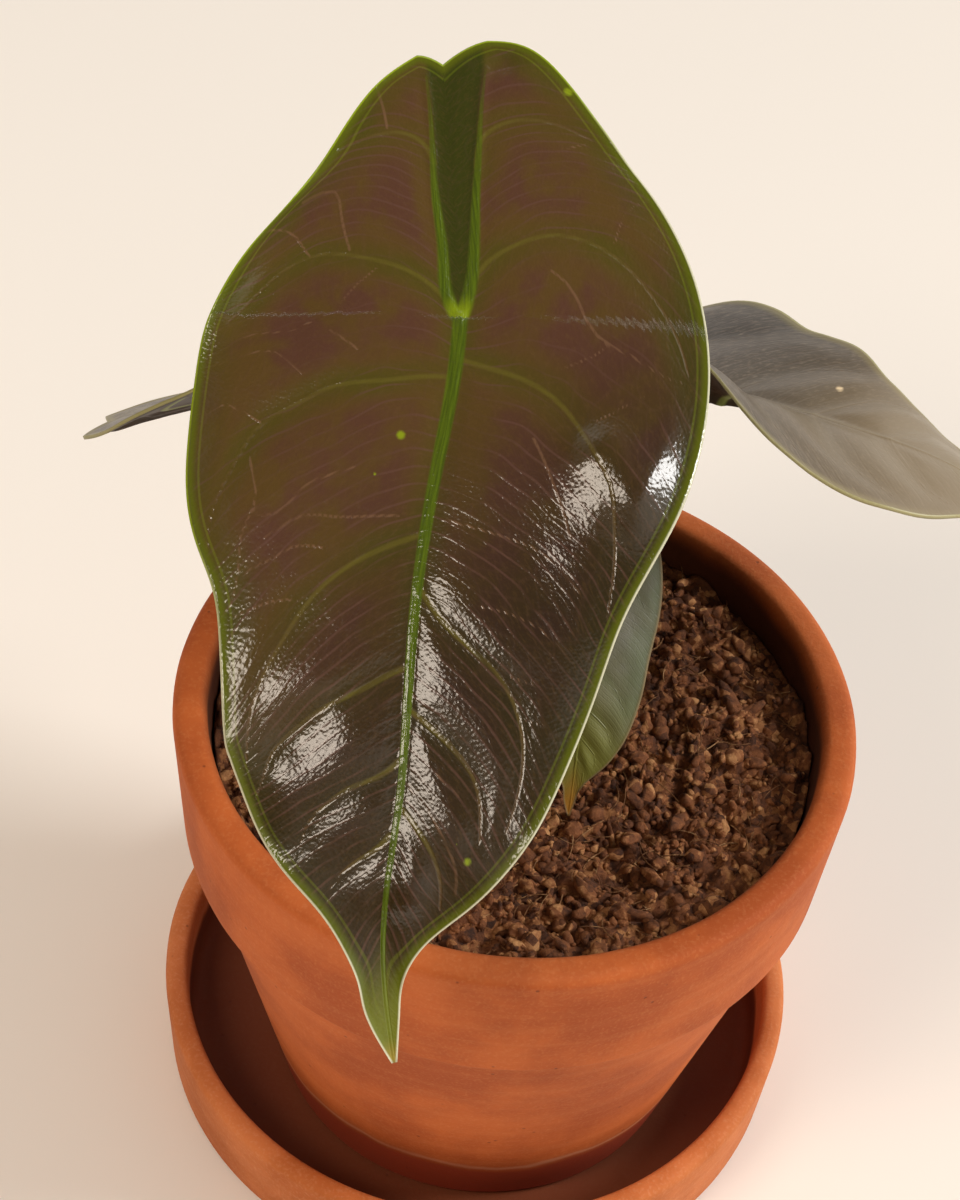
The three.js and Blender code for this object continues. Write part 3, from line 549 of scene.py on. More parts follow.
def leaf_top(name, look):
    """Living leaf, upper face: a waxy skin, so glossy, over a dark quilted blade with green veins"""
    material, add = new_material(name)
    flat, side_vein, fork_vein, lamina, weave, minor_vein = (
        add("SeparateXYZ", add("Attribute", attribute_name=label).outputs["Vector"]).outputs
        for label in ("flat", "side_vein", "fork_vein", "lamina", "weave", "minor_vein"))
    x, y, inner = flat
    edge, row, spread = lamina
    start, _, spot = weave
    plane = add("Attribute", attribute_name="flat").outputs["Vector"]
    combed = add("CombineXYZ", add("Math", x, 0.6, **TIMES), row)
    even = add("MapRange", spread, 2.4, 1.3)
    beside = add("Math", x, operation="ABSOLUTE")

    # Blade: bronze, with purple clouds in the middle of each field and olive by the veins and edge
    field = add("Math", side_vein[1], beside, operation="MINIMUM")
    clouds = add("TexNoise", plane, named={"Scale": 0.10, "Detail": 4.0})
    patches = add("TexNoise", plane, named={"Scale": 0.045, "Detail": 2.0})
    middle = add("MapRange", field, 1.0, 8.0, **SOFT)
    purple = add("Math", middle, add("MapRange", clouds, 0.36, 0.62, **SOFT), **TIMES)
    colour = add("Mix", purple, linear(look["bronze"]), linear(look["purple"]), **TINT)
    by_edge = add("MapRange", edge, look["olive_reach"], 1.5, **SOFT)
    by_vein = add("MapRange", field, 5.0, 0.4, 0.0, 0.7, **SOFT)
    olive = add("Math", by_edge, by_vein, operation="MAXIMUM")
    olive = add("Math", olive, add("MapRange", patches, 0.35, 0.6, 0.4, 1.0, **SOFT), **TIMES)
    # Painted shade: the blade darkens to the deep colour over its right half and towards its tip
    slant = add("Math", x, y, operation="ADD")
    painted_shade = add("MapRange", slant, 10.0, 75.0, 0.0, look["painted_shade_strength"], **SOFT)
    between = add("MapRange", inner, -0.4, 1.0, 0.0, 0.9, **SOFT)
    hairs = add("TexNoise", combed, named={"Scale": 1.5, "Detail": 5.0, "Roughness": 0.65})
    streaks = add("MapRange", hairs, 0.5, 0.78, 0.0, look["streak_strength"])

    # Fine veins: rungs along the rows, a faint net of cells, and the branching purple ones
    gap = look["rung_gap"]
    rung = add("Math", add("Math", row, gap / 2, operation="PINGPONG"), spread, **TIMES)
    rung_line = add("MapRange", rung, 0.30, 0.05, **SOFT)
    rung_fade = add("MapRange", clouds, 0.38, 0.6, 0.1, look["rung_strength"], **SOFT)
    rung_fade = add("Math", rung_fade, even, **TIMES)
    rung_fade = add("Math", rung_fade, add("MapRange", between, 0.5, 0.0), **TIMES)
    cells = add("TexVoronoi", combed, feature="DISTANCE_TO_EDGE", named={"Scale": 0.42})
    net = add("MapRange", cells, 0.08, 0.0, 0.0, 0.08, **SOFT)
    rungs = add("Math", rung_line, rung_fade, **TIMES)
    branch = add("MapRange", minor_vein[0], 0.36, 0.1, **SOFT)
    branch = add("Math", branch, add("MapRange", minor_vein[2], 0.3, 1.0, 0.6, 0.3), **TIMES)
    for mask, over in (
        (olive, "olive"), (painted_shade, "deep"), (between, "strip"), (streaks, "streak"), (net, "minor"),
        (rungs, "minor"), (branch, "branch"),
    ):
        colour = add("Mix", mask, colour, linear(look[over]), **TINT)

    # Side veins: olive-yellow by the midrib, purple-brown and thinner towards the margin
    girth = add("Math", side_vein[2], -0.6 * look["vein_width"], look["vein_width"], **TIMES_PLUS)
    mark = add("MapRange", add("Math", side_vein[1], girth, operation="DIVIDE"), 1.3, 0.2, **SOFT)
    vein_colour = add("Mix", add("MapRange", side_vein[2], 0.3, 0.85), linear(look["vein"]),
                      linear(look["vein_end"]), **TINT)
    colour = add("Mix", add("Math", mark, look["vein_strength"], **TIMES), colour, vein_colour, **TINT)

    # Midrib and the two veins that fork from it, with fine lengthwise lines
    girth = add("MapRange", start, 0.0, 110.0, look["rib_width"], look["rib_width"] * 0.3)
    past = add("Math", y, -0.5, operation="GREATER_THAN")
    rib = add("MapRange", add("Math", beside, girth, operation="DIVIDE"), 1.15, 0.7, **SOFT)
    rib = add("Math", rib, past, **TIMES)
    girth = add("Math", fork_vein[2], -0.85 * look["rib_width"], look["rib_width"], **TIMES_PLUS)
    arm = add("MapRange", add("Math", fork_vein[1], girth, operation="DIVIDE"), 1.2, 0.5, **SOFT)
    arm = add("Math", arm, add("MapRange", fork_vein[2], 0.5, 1.0, 1.0, 0.25), **TIMES)
    rib = add("Math", rib, arm, operation="MAXIMUM")
    lengthwise = add("CombineXYZ", x, add("Math", y, 0.05, **TIMES))
    threads = add("TexNoise", lengthwise, named={"Scale": 2.6, "Detail": 2.0})
    far = add("VectorMath", plane, (0.0, 0.4, 0.0), operation="DISTANCE").outputs["Value"]
    rib_colour = add("Mix", add("MapRange", threads, 0.38, 0.62), linear(look["rib"]),
                     linear(look["rib_light"]), **TINT)
    near_joint = add("MapRange", far, 5.5, 1.5, **SOFT)
    rib_colour = add("Mix", near_joint, rib_colour, linear(look["joint"]), **TINT)
    colour = add("Mix", rib, colour, rib_colour, **TINT)

    # Margin: a green band, then a rim that is green by the lobes and pale lower down; tip and spots
    band = add("MapRange", edge, look["band_width"], 0.5, 0.0, 0.92, **SOFT)
    inset = add("Math", add("Math", edge, 2.2, operation="SUBTRACT"), operation="ABSOLUTE")
    inset = add("MapRange", inset, 0.3, 0.08, 0.0, look["inset_strength"], **SOFT)
    tip = add("MapRange", start, look["tip_from"], look["tip_to"], 0.0, 0.85, **SOFT)
    tip_end = add("MapRange", start, look["tip_to"], LEAF_TIP, 0.0, 0.9, **SOFT)
    for mask, over in ((band, "margin"), (inset, "rim_green"), (tip, "tip"), (tip_end, "tip_end")):
        colour = add("Mix", mask, colour, linear(look[over]), **TINT)
    lower = add("Math", x, 0.9, start, **TIMES_PLUS)
    pale = add("MapRange", lower, -22.0, 12.0, **SOFT)
    rim_colour = add("Mix", pale, linear(look["rim_green"]), linear(look["rim"]), **TINT)
    wide = look["rim_width"]
    rim = add("MapRange", edge, wide, wide * 0.3, 0.0, look["rim_strength"], **SOFT)
    colour = add("Mix", rim, colour, rim_colour, **TINT)
    # Pale spots; on the back blade the spot is a painted highlight
    dot = add("Math", clouds, 0.8, spot, **TIMES_PLUS)
    colour = add("Mix", add("MapRange", dot, 1.5, 0.75, **SOFT), colour, linear(look["spot"]), **TINT)

    # Skin relief, heights in mm: puckers along the rows, a grain of cells, and the veins' lines
    folds = add("TexNoise", combed, named={"Scale": 0.8, "Detail": 5.0, "Roughness": 0.6})
    grains = add("TexVoronoi", plane, feature="SMOOTH_F1", named={"Scale": 1.7})
    fold_height = add("Math", even, look["fold_height"], **TIMES)
    height = add("Math", folds, fold_height, **TIMES)
    rung_relief = add("Math", rung_line, even, **TIMES)
    rib_relief = add("Math", rib, threads, **TIMES)
    for layer, rise in (
        (grains, look["grain_height"]), (net, -0.1), (rung_relief, -0.015), (branch, -0.05), (mark, 0.07),
        (rib_relief, 0.1),
    ):
        height = add("Math", layer, rise, height, **TIMES_PLUS)
    relief = add("Bump", 1.0, MM, named={"Height": height})
    gloss = add("TexNoise", plane, named={"Scale": 0.5, "Detail": 4.0})
    rough = add("Math", gloss, look["rough_spread"], look["rough"] - look["rough_spread"] / 2,
                **TIMES_PLUS)
    skin = add("BsdfPrincipled", named={
        "Base Color": colour, "Roughness": rough, "Normal": relief,
        "Specular IOR Level": look["body_gloss"],
        "Coat Weight": look["coat"], "Coat Roughness": look["coat_rough"], "Coat Normal": relief,
    })
    add("OutputMaterial", skin)
    return material


def leaf_under(name, look):
    """Living leaf, lower face: duller and flatter in colour, with the ribs standing out"""
    material, add = new_material(name)
    plane = add("Attribute", attribute_name="flat").outputs["Vector"]
    away = add("SeparateXYZ", add("Attribute", attribute_name="side_vein").outputs["Vector"]).outputs[1]
    mottle = add("TexNoise", plane, named={"Scale": 0.2, "Detail": 5.0})
    base = add("Mix", add("MapRange", mottle, 0.3, 0.7), linear(look["under"]), linear(look["under_light"]),
               **TINT)
    vein = add("MapRange", away, 1.0, 0.3, **SOFT)
    colour = add("Mix", vein, base, linear(look["under_vein"]), **TINT)
    cells = add("TexVoronoi", plane, feature="DISTANCE_TO_EDGE", named={"Scale": 0.6})
    relief = add("Bump", 0.6, 0.15 * MM, named={"Height": cells})
    skin = add("BsdfPrincipled", named={"Base Color": colour, "Roughness": 0.55, "Normal": relief})
    add("OutputMaterial", skin)
    return material


MAIN_LOOK = {
    "bronze": "#543F1A", "purple": "#523526", "olive": "#464409", "strip": "#2F3505", "streak": "#624A26",
    # The deep colour is painted shade, laid over the right half and the tip of the blade
    "deep": "#20160B", "painted_shade_strength": 0.8,
    "streak_strength": 0.3, "minor": "#5E4238", "branch": "#74563F", "rung_gap": 2.7, "rung_strength": 0.5,
    "vein": "#5E561C", "vein_end": "#5A4429", "vein_width": 0.6, "vein_strength": 0.7,
    "rib": "#3F4F06", "rib_light": "#50620A", "joint": "#74860A", "rib_width": 1.4,
    "olive_reach": 9.0, "margin": "#545C08", "band_width": 2.2, "rim": "#CFCDB0", "rim_green": "#8FA41E",
    "rim_width": 0.45, "rim_strength": 0.95, "inset_strength": 0.14, "tip": "#6A7018", "tip_end": "#95802C",
    "spot": "#7E8E14",
    "under": "#5B4238", "under_light": "#6A5A40", "under_vein": "#7E8A46",
    "tip_from": 103.0, "tip_to": 122.0, "fold_height": 0.035, "grain_height": 0.05,
    "rough": 0.4, "rough_spread": 0.12, "body_gloss": 0.06, "coat": 0.9, "coat_rough": 0.14,
}
BACK_LOOK = dict(
    MAIN_LOOK, painted_shade_strength=0.0, bronze="#382D21", purple="#3F352B", olive="#342A1C", strip="#5A5240",
    streak="#A08E78", streak_strength=0.6,
    minor="#55463A", branch="#5C4A3E", vein="#70634A", vein_end="#5C4C3C", vein_strength=0.5,
    rib="#4E4730", rib_light="#6F6448", joint="#6C6636", margin="#7A7048", tip="#8A7B63",
    tip_end="#8C7A40", tip_from=40.0, tip_to=105.0,
    # Its spot colour is a painted highlight
    inset_strength=0.0, rim="#A8A272", rim_green="#8F8A52", spot="#E8D0A8", rib_width=0.9, rim_strength=0.8,
    under="#2C2216", under_light="#3A2F1E", fold_height=0.05, grain_height=0.02,
    rough=0.34, rough_spread=0.16, body_gloss=0.5, coat=0.0,
)
SMALL_LOOK = dict(
    MAIN_LOOK, painted_shade_strength=0.0, bronze="#6C6B55", purple="#747263", olive="#5E6648", strip="#5A6242",
    streak="#7E8072",
    minor="#636556", branch="#62644F", vein="#6E7656", vein_end="#666A54", vein_strength=0.4,
    rib="#66703E", rib_light="#788248", joint="#7E8C2E", margin="#66603C", tip="#78781F", tip_end="#B0741E",
    inset_strength=0.0, rim="#84704E", rim_green="#84704E", spot="#5A6A20", under="#4A4A30",
    under_light="#5A6038",
    fold_height=0.04, grain_height=0.02, tip_from=30.0, tip_to=92.0, rough=0.42, rough_spread=0.15,
    body_gloss=0.4, coat=0.0, rim_width=1.1, rim_strength=0.8, olive_reach=20.0,
)


# Clay, soil, stem and stalk finishes

def fired_clay(name, look):
    """Terracotta, pressed and fired: dry matt clay with fine sand, kiln flecks and lime bloom"""
    material, add = new_material(name)
    spot = add("VectorMath", add("TexCoord").outputs["Object"], (1000.0,) * 3, **TIMES)
    above = add("SeparateXYZ", spot).outputs[2]
    clouds = add("TexNoise", spot, named={"Scale": 0.035, "Detail": 6.0, "Roughness": 0.6})
    sand = add("TexNoise", spot, named={"Scale": 1.5, "Detail": 4.0})
    clouded = add("MapRange", clouds, 0.36, 0.66, **SOFT)
    body = add("Mix", clouded, linear(look["dark"]), linear(look["body"]), **TINT)
    banded = add("TexNoise", add("VectorMath", spot, (0.012, 0.012, 0.5), **TIMES),
                 named={"Scale": 1.0, "Detail": 3.0})
    body = add("Mix", add("MapRange", banded, 0.45, 0.75, 0.0, 0.1), body, linear(look["pale"]), **TINT)
    body = add("Mix", add("MapRange", sand, 0.5, 0.8, 0.0, 0.22), body, linear(look["pale"]), **TINT)
    grit = add("TexVoronoi", spot, named={"Scale": 0.16})
    fleck = add("MapRange", grit, 0.07, 0.03, 0.0, 0.5)
    body = add("Mix", fleck, body, linear("#3A1A0E"), **TINT)
    wave = add("TexNoise", spot, named={"Scale": 0.05, "Detail": 3.0})
    level = add("Math", wave, 7.0, above, **TIMES_PLUS)
    around = add("VectorMath", spot, (POT_AXIS[0], POT_AXIS[1], 0.0), operation="SUBTRACT")
    around = add("VectorMath", around, (1.0, 1.0, 0.0), **TIMES)
    radius = add("VectorMath", around, operation="LENGTH").outputs["Value"]
    reached = add("VectorMath", add("VectorMath", spot, (1.0, 1.0, 0.0), **TIMES),
                  operation="LENGTH").outputs["Value"]
    reached = add("MapRange", reached, DAMP_REACH, DAMP_REACH - 1.0)
    # Damp darkens the clay near the foot; in the saucer it is also painted shade on floor and inner wall
    damp_top = look["damp_top"]
    damp_and_shade_mask = add("MapRange", level, damp_top + 5.0, damp_top + 1.4, 0.0, look["damp_and_shade_strength"], **SOFT)
    damp_and_shade_mask = add("Math", damp_and_shade_mask, reached, **TIMES)
    body = add("Mix", damp_and_shade_mask, body, linear(look["damp_and_shade"]), **TINT)
    over = add("Math", level, damp_top + 4.6, operation="SUBTRACT")
    over = add("Math", over, operation="ABSOLUTE")
    lime = add("MapRange", over, 1.3, 0.1, 0.0, look["lime_strength"], **SOFT)
    lime = add("Math", add("Math", lime, clouds, **TIMES), reached, **TIMES)
    body = add("Mix", lime, body, linear("#D0A080"), **TINT)
    # Inner wall darker towards the soil: partly soil stain, partly painted shade
    in_band = add("MapRange", above, BAND_FOOT, BAND_FOOT + 2.0)
    inside = add("Math", add("MapRange", radius, 60.0, 58.6), in_band, **TIMES)
    soil_stain_and_shade = add("MapRange", level, SOIL_LEVEL + 14.0, SOIL_LEVEL + 7.5, 0.0, look["soil_stain_and_shade"], **SOFT)
    body = add("Mix", add("Math", inside, soil_stain_and_shade, **TIMES), body, linear("#2C1308"), **TINT)
    height = add("Math", sand, 0.08, **TIMES)
    for layer, rise in ((fleck, -0.16), (clouds, 0.3)):
        height = add("Math", layer, rise, height, **TIMES_PLUS)
    relief = add("Bump", 1.0, MM, named={"Height": height})
    add("OutputMaterial", add("BsdfPrincipled", named={
        "Base Color": body, "Roughness": 0.75, "Specular IOR Level": 0.3, "Normal": relief,
    }))
    return material


def potting_mix(name, dark, middle, light):
    """Moist peat and coir: rough crumbs of every brown, a few of them straw pale"""
    material, add = new_material(name)
    spot = add("VectorMath", add("TexCoord").outputs["Object"], (1000.0,) * 3, **TIMES)
    cells = add("TexVoronoi", spot, named={"Scale": 0.55}).outputs["Color"]
    tone = add("SeparateXYZ", cells).outputs[0]
    crumbs = add("TexNoise", spot, named={"Scale": 0.6, "Detail": 8.0, "Roughness": 0.7})
    mixed = add("Math", add("Math", tone, 0.45, **TIMES), crumbs, operation="ADD")
    low = add("Mix", add("MapRange", mixed, 0.4, 0.85), linear(dark), linear(middle), **TINT)
    high = add("Mix", add("MapRange", mixed, 0.8, 1.1), low, linear(light), **TINT)
    relief = add("Bump", 1.0, 0.7 * MM, named={"Height": crumbs})
    add("OutputMaterial", add("BsdfPrincipled", named={
        "Base Color": high, "Roughness": 0.75, "Specular IOR Level": 0.35, "Normal": relief,
    }))
    return material


def plant_skin(name, colour, light, streaks_per_mm, rough):
    """Smooth plant tissue, such as a leaf stalk: satin, with fine lengthwise streaks"""
    material, add = new_material(name)
    stretched = add("VectorMath", add("TexCoord").outputs["Object"], (1000.0, 1000.0, 90.0), **TIMES)
    streak = add("TexNoise", stretched, named={"Scale": streaks_per_mm, "Detail": 4.0})
    body = add("Mix", add("MapRange", streak, 0.3, 0.7), linear(colour), linear(light), **TINT)
    relief = add("Bump", 0.5, 0.2 * MM, named={"Height": streak})
    skin = add("BsdfPrincipled", named={"Base Color": body, "Roughness": rough, "Normal": relief})
    add("OutputMaterial", skin)
    return material


POT_LOOK = {
    "body": "#BC5F28", "dark": "#A04A1B", "pale": "#D8925F", "damp_and_shade": "#963A1D", "damp_top": 21.0,
    "damp_and_shade_strength": 1.0, "lime_strength": 0.7, "soil_stain_and_shade": 0.9,
}
# The saucer's dark, strong damp is partly damp and partly painted shade inside it
SAUCER_LOOK = dict(
    POT_LOOK, body="#C87440", dark="#AE5C28", pale="#E0AC86", damp_and_shade="#5A250F", damp_top=13.0,
    damp_and_shade_strength=0.9, lime_strength=0.2, soil_stain_and_shade=0.0,
)


# Clay, soil, stem and stalk shapes

def rounded(corners, steps=5):
    """A profile of radius and height pairs with round corners; each corner is radius, height, rounding"""
    points = []
    for k, (r, z, size) in enumerate(corners):
        here = Vector((r, z))
        if size <= 0:
            points.append(here)
            continue
        before = Vector(corners[k - 1][:2])
        after = Vector(corners[(k + 1) % len(corners)][:2])
        one = here + (before - here).normalized() * size
        two = here + (after - here).normalized() * size
        for i in range(steps + 1):
            t = i / steps
            points.append(one * (1 - t) ** 2 + here * 2 * t * (1 - t) + two * t ** 2)
    return points


def spun(profile, axis, steps, closed):
    """A bmesh turned about an upright axis from a profile in mm"""
    bm = bmesh.new()
    verts = [bm.verts.new((axis[0] * MM + p.x * MM, axis[1] * MM, p.y * MM)) for p in profile]
    pairs = list(zip(verts, verts[1:]))
    if closed:
        pairs.append((verts[-1], verts[0]))
    edges = [bm.edges.new(pair) for pair in pairs]
    bmesh.ops.spin(bm, geom=verts + edges, cent=(axis[0] * MM, axis[1] * MM, 0), axis=(0, 0, 1),
                   angle=2 * math.pi, steps=steps, use_merge=True)
    bmesh.ops.remove_doubles(bm, verts=bm.verts, dist=1e-6)
    bmesh.ops.recalc_face_normals(bm, faces=bm.faces)
    return bm


def hand_made(bm, axis, amount):
    """The slight waver of a pressed clay wall"""
    for vert in bm.verts:
        out = Vector((vert.co.x - axis[0] * MM, vert.co.y - axis[1] * MM, 0))
        if out.length > 0.002:
            waver = noise.noise(vert.co * 28.0) + 0.4 * noise.noise(vert.co * 90.0)
            vert.co += out.normalized() * waver * amount * MM


def pot_profile():
    """The pot's wall: foot, tapering body, thick band with a rolled lip, and the inside"""
    return rounded([
        (DRAIN_RADIUS, POT_FOOT, 0.8), (42, POT_FOOT, 2.2), (59.4, BAND_FOOT - 4, 4),
        (60.2, BAND_FOOT - 0.4, 0.6), (62.8, BAND_FOOT - 0.2, 0.9), (65, POT_TOP, 2.6),
        (58.5, POT_TOP, 2.2), (57.9, POT_TOP - 7, 2),
        (53.6, BAND_FOOT, 3), (37, FLOOR_TOP, 3), (DRAIN_RADIUS, FLOOR_TOP, 0.8),
    ])


def saucer_profile():
    """The saucer's section from the axis out: flat underside, upright wall, round lip, floor"""
    return rounded([
        (0, 0, 0), (64.6, 0, 2.0), (66, 21, 2.4), (61.3, 21, 2.0), (60.4, 5, 3.4), (0, 5, 0),
    ])


def soil_radius(height):
    inner = straight_through([(FLOOR_TOP, 37.0), (BAND_FOOT, 53.5), (POT_TOP - 6, 58.1), (POT_TOP, 58.5)])
    return float(inner(height)) - SOIL_GAP


def soil_height(x, y):
    """The soil's level in mm at a place in mm: crossed waves, clods and a heap round the stem"""
    waves = math.sin(x * 0.31 + 1) * math.cos(y * 0.27) + 0.6 * math.sin(x * 0.13 - y * 0.17 + 2)
    away = math.hypot(x - STEM_AXIS[0], y - STEM_AXIS[1])
    place = Vector((x, y, 0))
    clods = 2.2 * noise.noise(place * 0.15) + 1.9 * noise.noise(place * 0.37 + Vector((7, 3, 1)))
    crumbs = 1.0 * noise.noise(place * 0.8) + 0.7 * noise.noise(place * 1.7)
    return SOIL_LEVEL + 0.6 + 0.77 * waves + 1.5 * math.exp(-(away / 18) ** 2) + clods + crumbs


def soil_spot(draw, margin):
    """A seeded place on the soil, in mm"""
    radius = (soil_radius(SOIL_LEVEL) - margin) * math.sqrt(draw.random())
    angle = 2 * math.pi * draw.random()
    return POT_AXIS[0] + radius * math.cos(angle), POT_AXIS[1] + radius * math.sin(angle)


# Settings, operators and panel

class ClaySettings(bpy.types.PropertyGroup):
    """Sizes and colours of the pot and saucer"""
    turns: bpy.props.IntProperty(
        name="Turn steps", description="Steps round the pot and saucer", default=168, min=24)
    waver: bpy.props.FloatProperty(
        name="Waver", description="How far the wall wavers, in mm", default=0.18, min=0.0)
    pot_colour: bpy.props.StringProperty(
        name="Pot colour", description="Dry clay of the pot, sRGB hex", default="#BC5F28")
    saucer_colour: bpy.props.StringProperty(
        name="Saucer colour", description="Dry clay of the saucer, sRGB hex", default="#C87440")


class SoilSettings(bpy.types.PropertyGroup):
    """How much loose matter lies on the soil"""
    clods: bpy.props.IntProperty(
        name="Clods", description="Lumps and shreds of husk on the soil", default=1300, min=0)
    crumbs: bpy.props.IntProperty(
        name="Crumbs", description="Small crumbs on the soil", default=4200, min=0)
    fibres: bpy.props.IntProperty(
        name="Fibres", description="Coir fibres on the soil", default=700, min=0)


class BladeSettings(bpy.types.PropertyGroup):
    """How fine the blades are made"""
    across: bpy.props.IntProperty(
        name="Across", description="Steps across a big blade", default=168, min=8)
    along: bpy.props.IntProperty(
        name="Along", description="Steps along a big blade", default=276, min=8)
    swell: bpy.props.FloatProperty(
        name="Swell", description="How far the blade swells between its veins, in mm", default=0.5)
    pucker: bpy.props.FloatProperty(
        name="Pucker", description="Height of the blade's fine puckers, in mm", default=0.035)


class StageSettings(bpy.types.PropertyGroup):
    """Floor, light and camera"""
    floor_colour: bpy.props.StringProperty(
        name="Floor colour", description="The pale table, sRGB hex", default="#F0EBE4")
    window_power: bpy.props.FloatProperty(
        name="Window", description="Power of the soft light at the right", default=48.0, unit="POWER")
    box_power: bpy.props.FloatProperty(
        name="Soft box", description="Power of the long soft light, high at the front left", default=11.0,
        unit="POWER")
    room_light: bpy.props.FloatProperty(
        name="Room", description="Brightness of the pale room", default=0.95, min=0.0)


class OBJECT_OT_clay(bpy.types.Operator):
    """Make the terracotta pot and its saucer"""
    bl_idname = "alocasia.clay"
    bl_label = "Pot and saucer"

    def execute(self, context):
        clay = context.scene.alocasia_clay
        pot_clay = fired_clay("terracotta pot clay", dict(POT_LOOK, body=clay.pot_colour))
        saucer_clay = fired_clay("terracotta saucer clay", dict(SAUCER_LOOK, body=clay.saucer_colour))
        bm = spun(pot_profile(), POT_AXIS, clay.turns, True)
        hand_made(bm, POT_AXIS, clay.waver)
        finish_piece("clay_pot", bm, [pot_clay], "pot")
        bm = spun(saucer_profile(), (0, 0), clay.turns, False)
        hand_made(bm, (0, 0), clay.waver * 0.6)
        finish_piece("clay_saucer", bm, [saucer_clay], "saucer")
        return {"FINISHED"}


class OBJECT_OT_soil(bpy.types.Operator):
    """Make the potting mix with its clods, crumbs, husk and coir fibres"""
    bl_idname = "alocasia.soil"
    bl_label = "Potting mix"

    def execute(self, context):
        soil = context.scene.alocasia_soil
        mix = potting_mix("peat and coir mix", "#2E160A", "#7A4624", "#B07A48")
        clods = potting_mix("peat crumbs", "#3A1C0E", "#915831", "#D29C66")
        coir = potting_mix("coir fibre", "#5A3219", "#96683F", "#CFA474")
        top = soil_radius(SOIL_LEVEL)
        rings = 120
        profile = [Vector((top * k / rings, SOIL_LEVEL)) for k in range(rings + 1)]
        profile += [Vector((soil_radius(z), z)) for z in (96, BAND_FOOT, 40, 14)] + [Vector((0, 12.7))]
        bm = spun(profile, POT_AXIS, 240, False)
        for vert in bm.verts:
            if vert.co.z > (SOIL_LEVEL - 0.5) * MM:
                vert.co.z = soil_height(vert.co.x / MM, vert.co.y / MM) * MM
        finish_piece("soil_bed", bm, [mix], "soil")
        draw = random.Random(SOIL_SEED)
        # noise_vector shifts by the clock unless it is seeded, and the crumbs would differ on each run
        noise.seed_set(SOIL_SEED)
        self.scatter("soil_clods", clods, (self.crumb(draw, 0.8, 2.2, 2) for _ in range(soil.clods)))
        self.scatter("soil_crumbs", clods, (self.crumb(draw, 0.3, 1.2, 1) for _ in range(soil.crumbs)))
        self.scatter("coir_fibres", coir, (self.fibre(draw) for _ in range(soil.fibres)))
        return {"FINISHED"}

    def scatter(self, name, material, bits):
        """Gather many small bits in one piece"""
        whole = bmesh.new()
        scrap = bpy.data.meshes.new("scrap")
        for bit in bits:
            bit.to_mesh(scrap)
            bit.free()
            whole.from_mesh(scrap)
        bpy.data.meshes.remove(scrap)
        finish_piece(name, whole, [material], "soil")

    def crumb(self, draw, least, most, fineness):
        """A rough crumb, or a longer shred of husk, lying on the soil"""
        size = least + (most - least) * draw.random() ** 2
        x, y = soil_spot(draw, size + 1.0)
        long = draw.uniform(1.5, 3.0) if draw.random() < 0.14 else draw.uniform(0.8, 1.3)
        shape = Matrix.Diagonal((long, draw.uniform(0.5, 0.9), draw.uniform(0.4, 0.8), 1))
        turn = Matrix.Rotation(draw.uniform(0, 6.28), 4, "Z")
        turn = turn @ Matrix.Rotation(draw.uniform(-0.6, 0.6), 4, "Y")
        place = Matrix.Translation(Vector((x, y, soil_height(x, y) + size * 0.1)) * MM)
        bit = bmesh.new()
        bmesh.ops.create_icosphere(
            bit, subdivisions=fineness, radius=size * MM, matrix=place @ turn @ shape)
        for vert in bit.verts:
            vert.co += noise.noise_vector(vert.co * 700) * size * 0.35 * MM
        return bit

    def fibre(self, draw):
        """A thin curved strand, lying on the soil"""
        radius = draw.uniform(3.0, 14.0)
        x, y = soil_spot(draw, 5.0)
        bit = bmesh.new()
        bmesh.ops.create_circle(bit, segments=3, radius=draw.uniform(0.07, 0.17) * MM)
        stand = Matrix.Translation((radius * MM, 0, 0)) @ Matrix.Rotation(math.pi / 2, 4, "X")
        bmesh.ops.transform(bit, matrix=stand, verts=bit.verts)
        bmesh.ops.spin(bit, geom=bit.verts[:] + bit.edges[:], cent=(0, 0, 0), axis=(0, 0, 1),
                       angle=draw.uniform(2.5, 8.0) / radius, steps=5)
        lie = Matrix.Translation(Vector((x, y, soil_height(x, y) + 0.5)) * MM)
        lie = lie @ Matrix.Rotation(draw.uniform(0, 6.28), 4, "Z")
        lie = lie @ Matrix.Rotation(draw.uniform(-0.35, 0.35), 4, "X")
        bmesh.ops.transform(bit, matrix=lie @ Matrix.Translation((-radius * MM, 0, 0)), verts=bit.verts)
        bmesh.ops.holes_fill(bit, edges=[e for e in bit.edges if e.is_boundary])
        bmesh.ops.recalc_face_normals(bit, faces=bit.faces)
        return bit


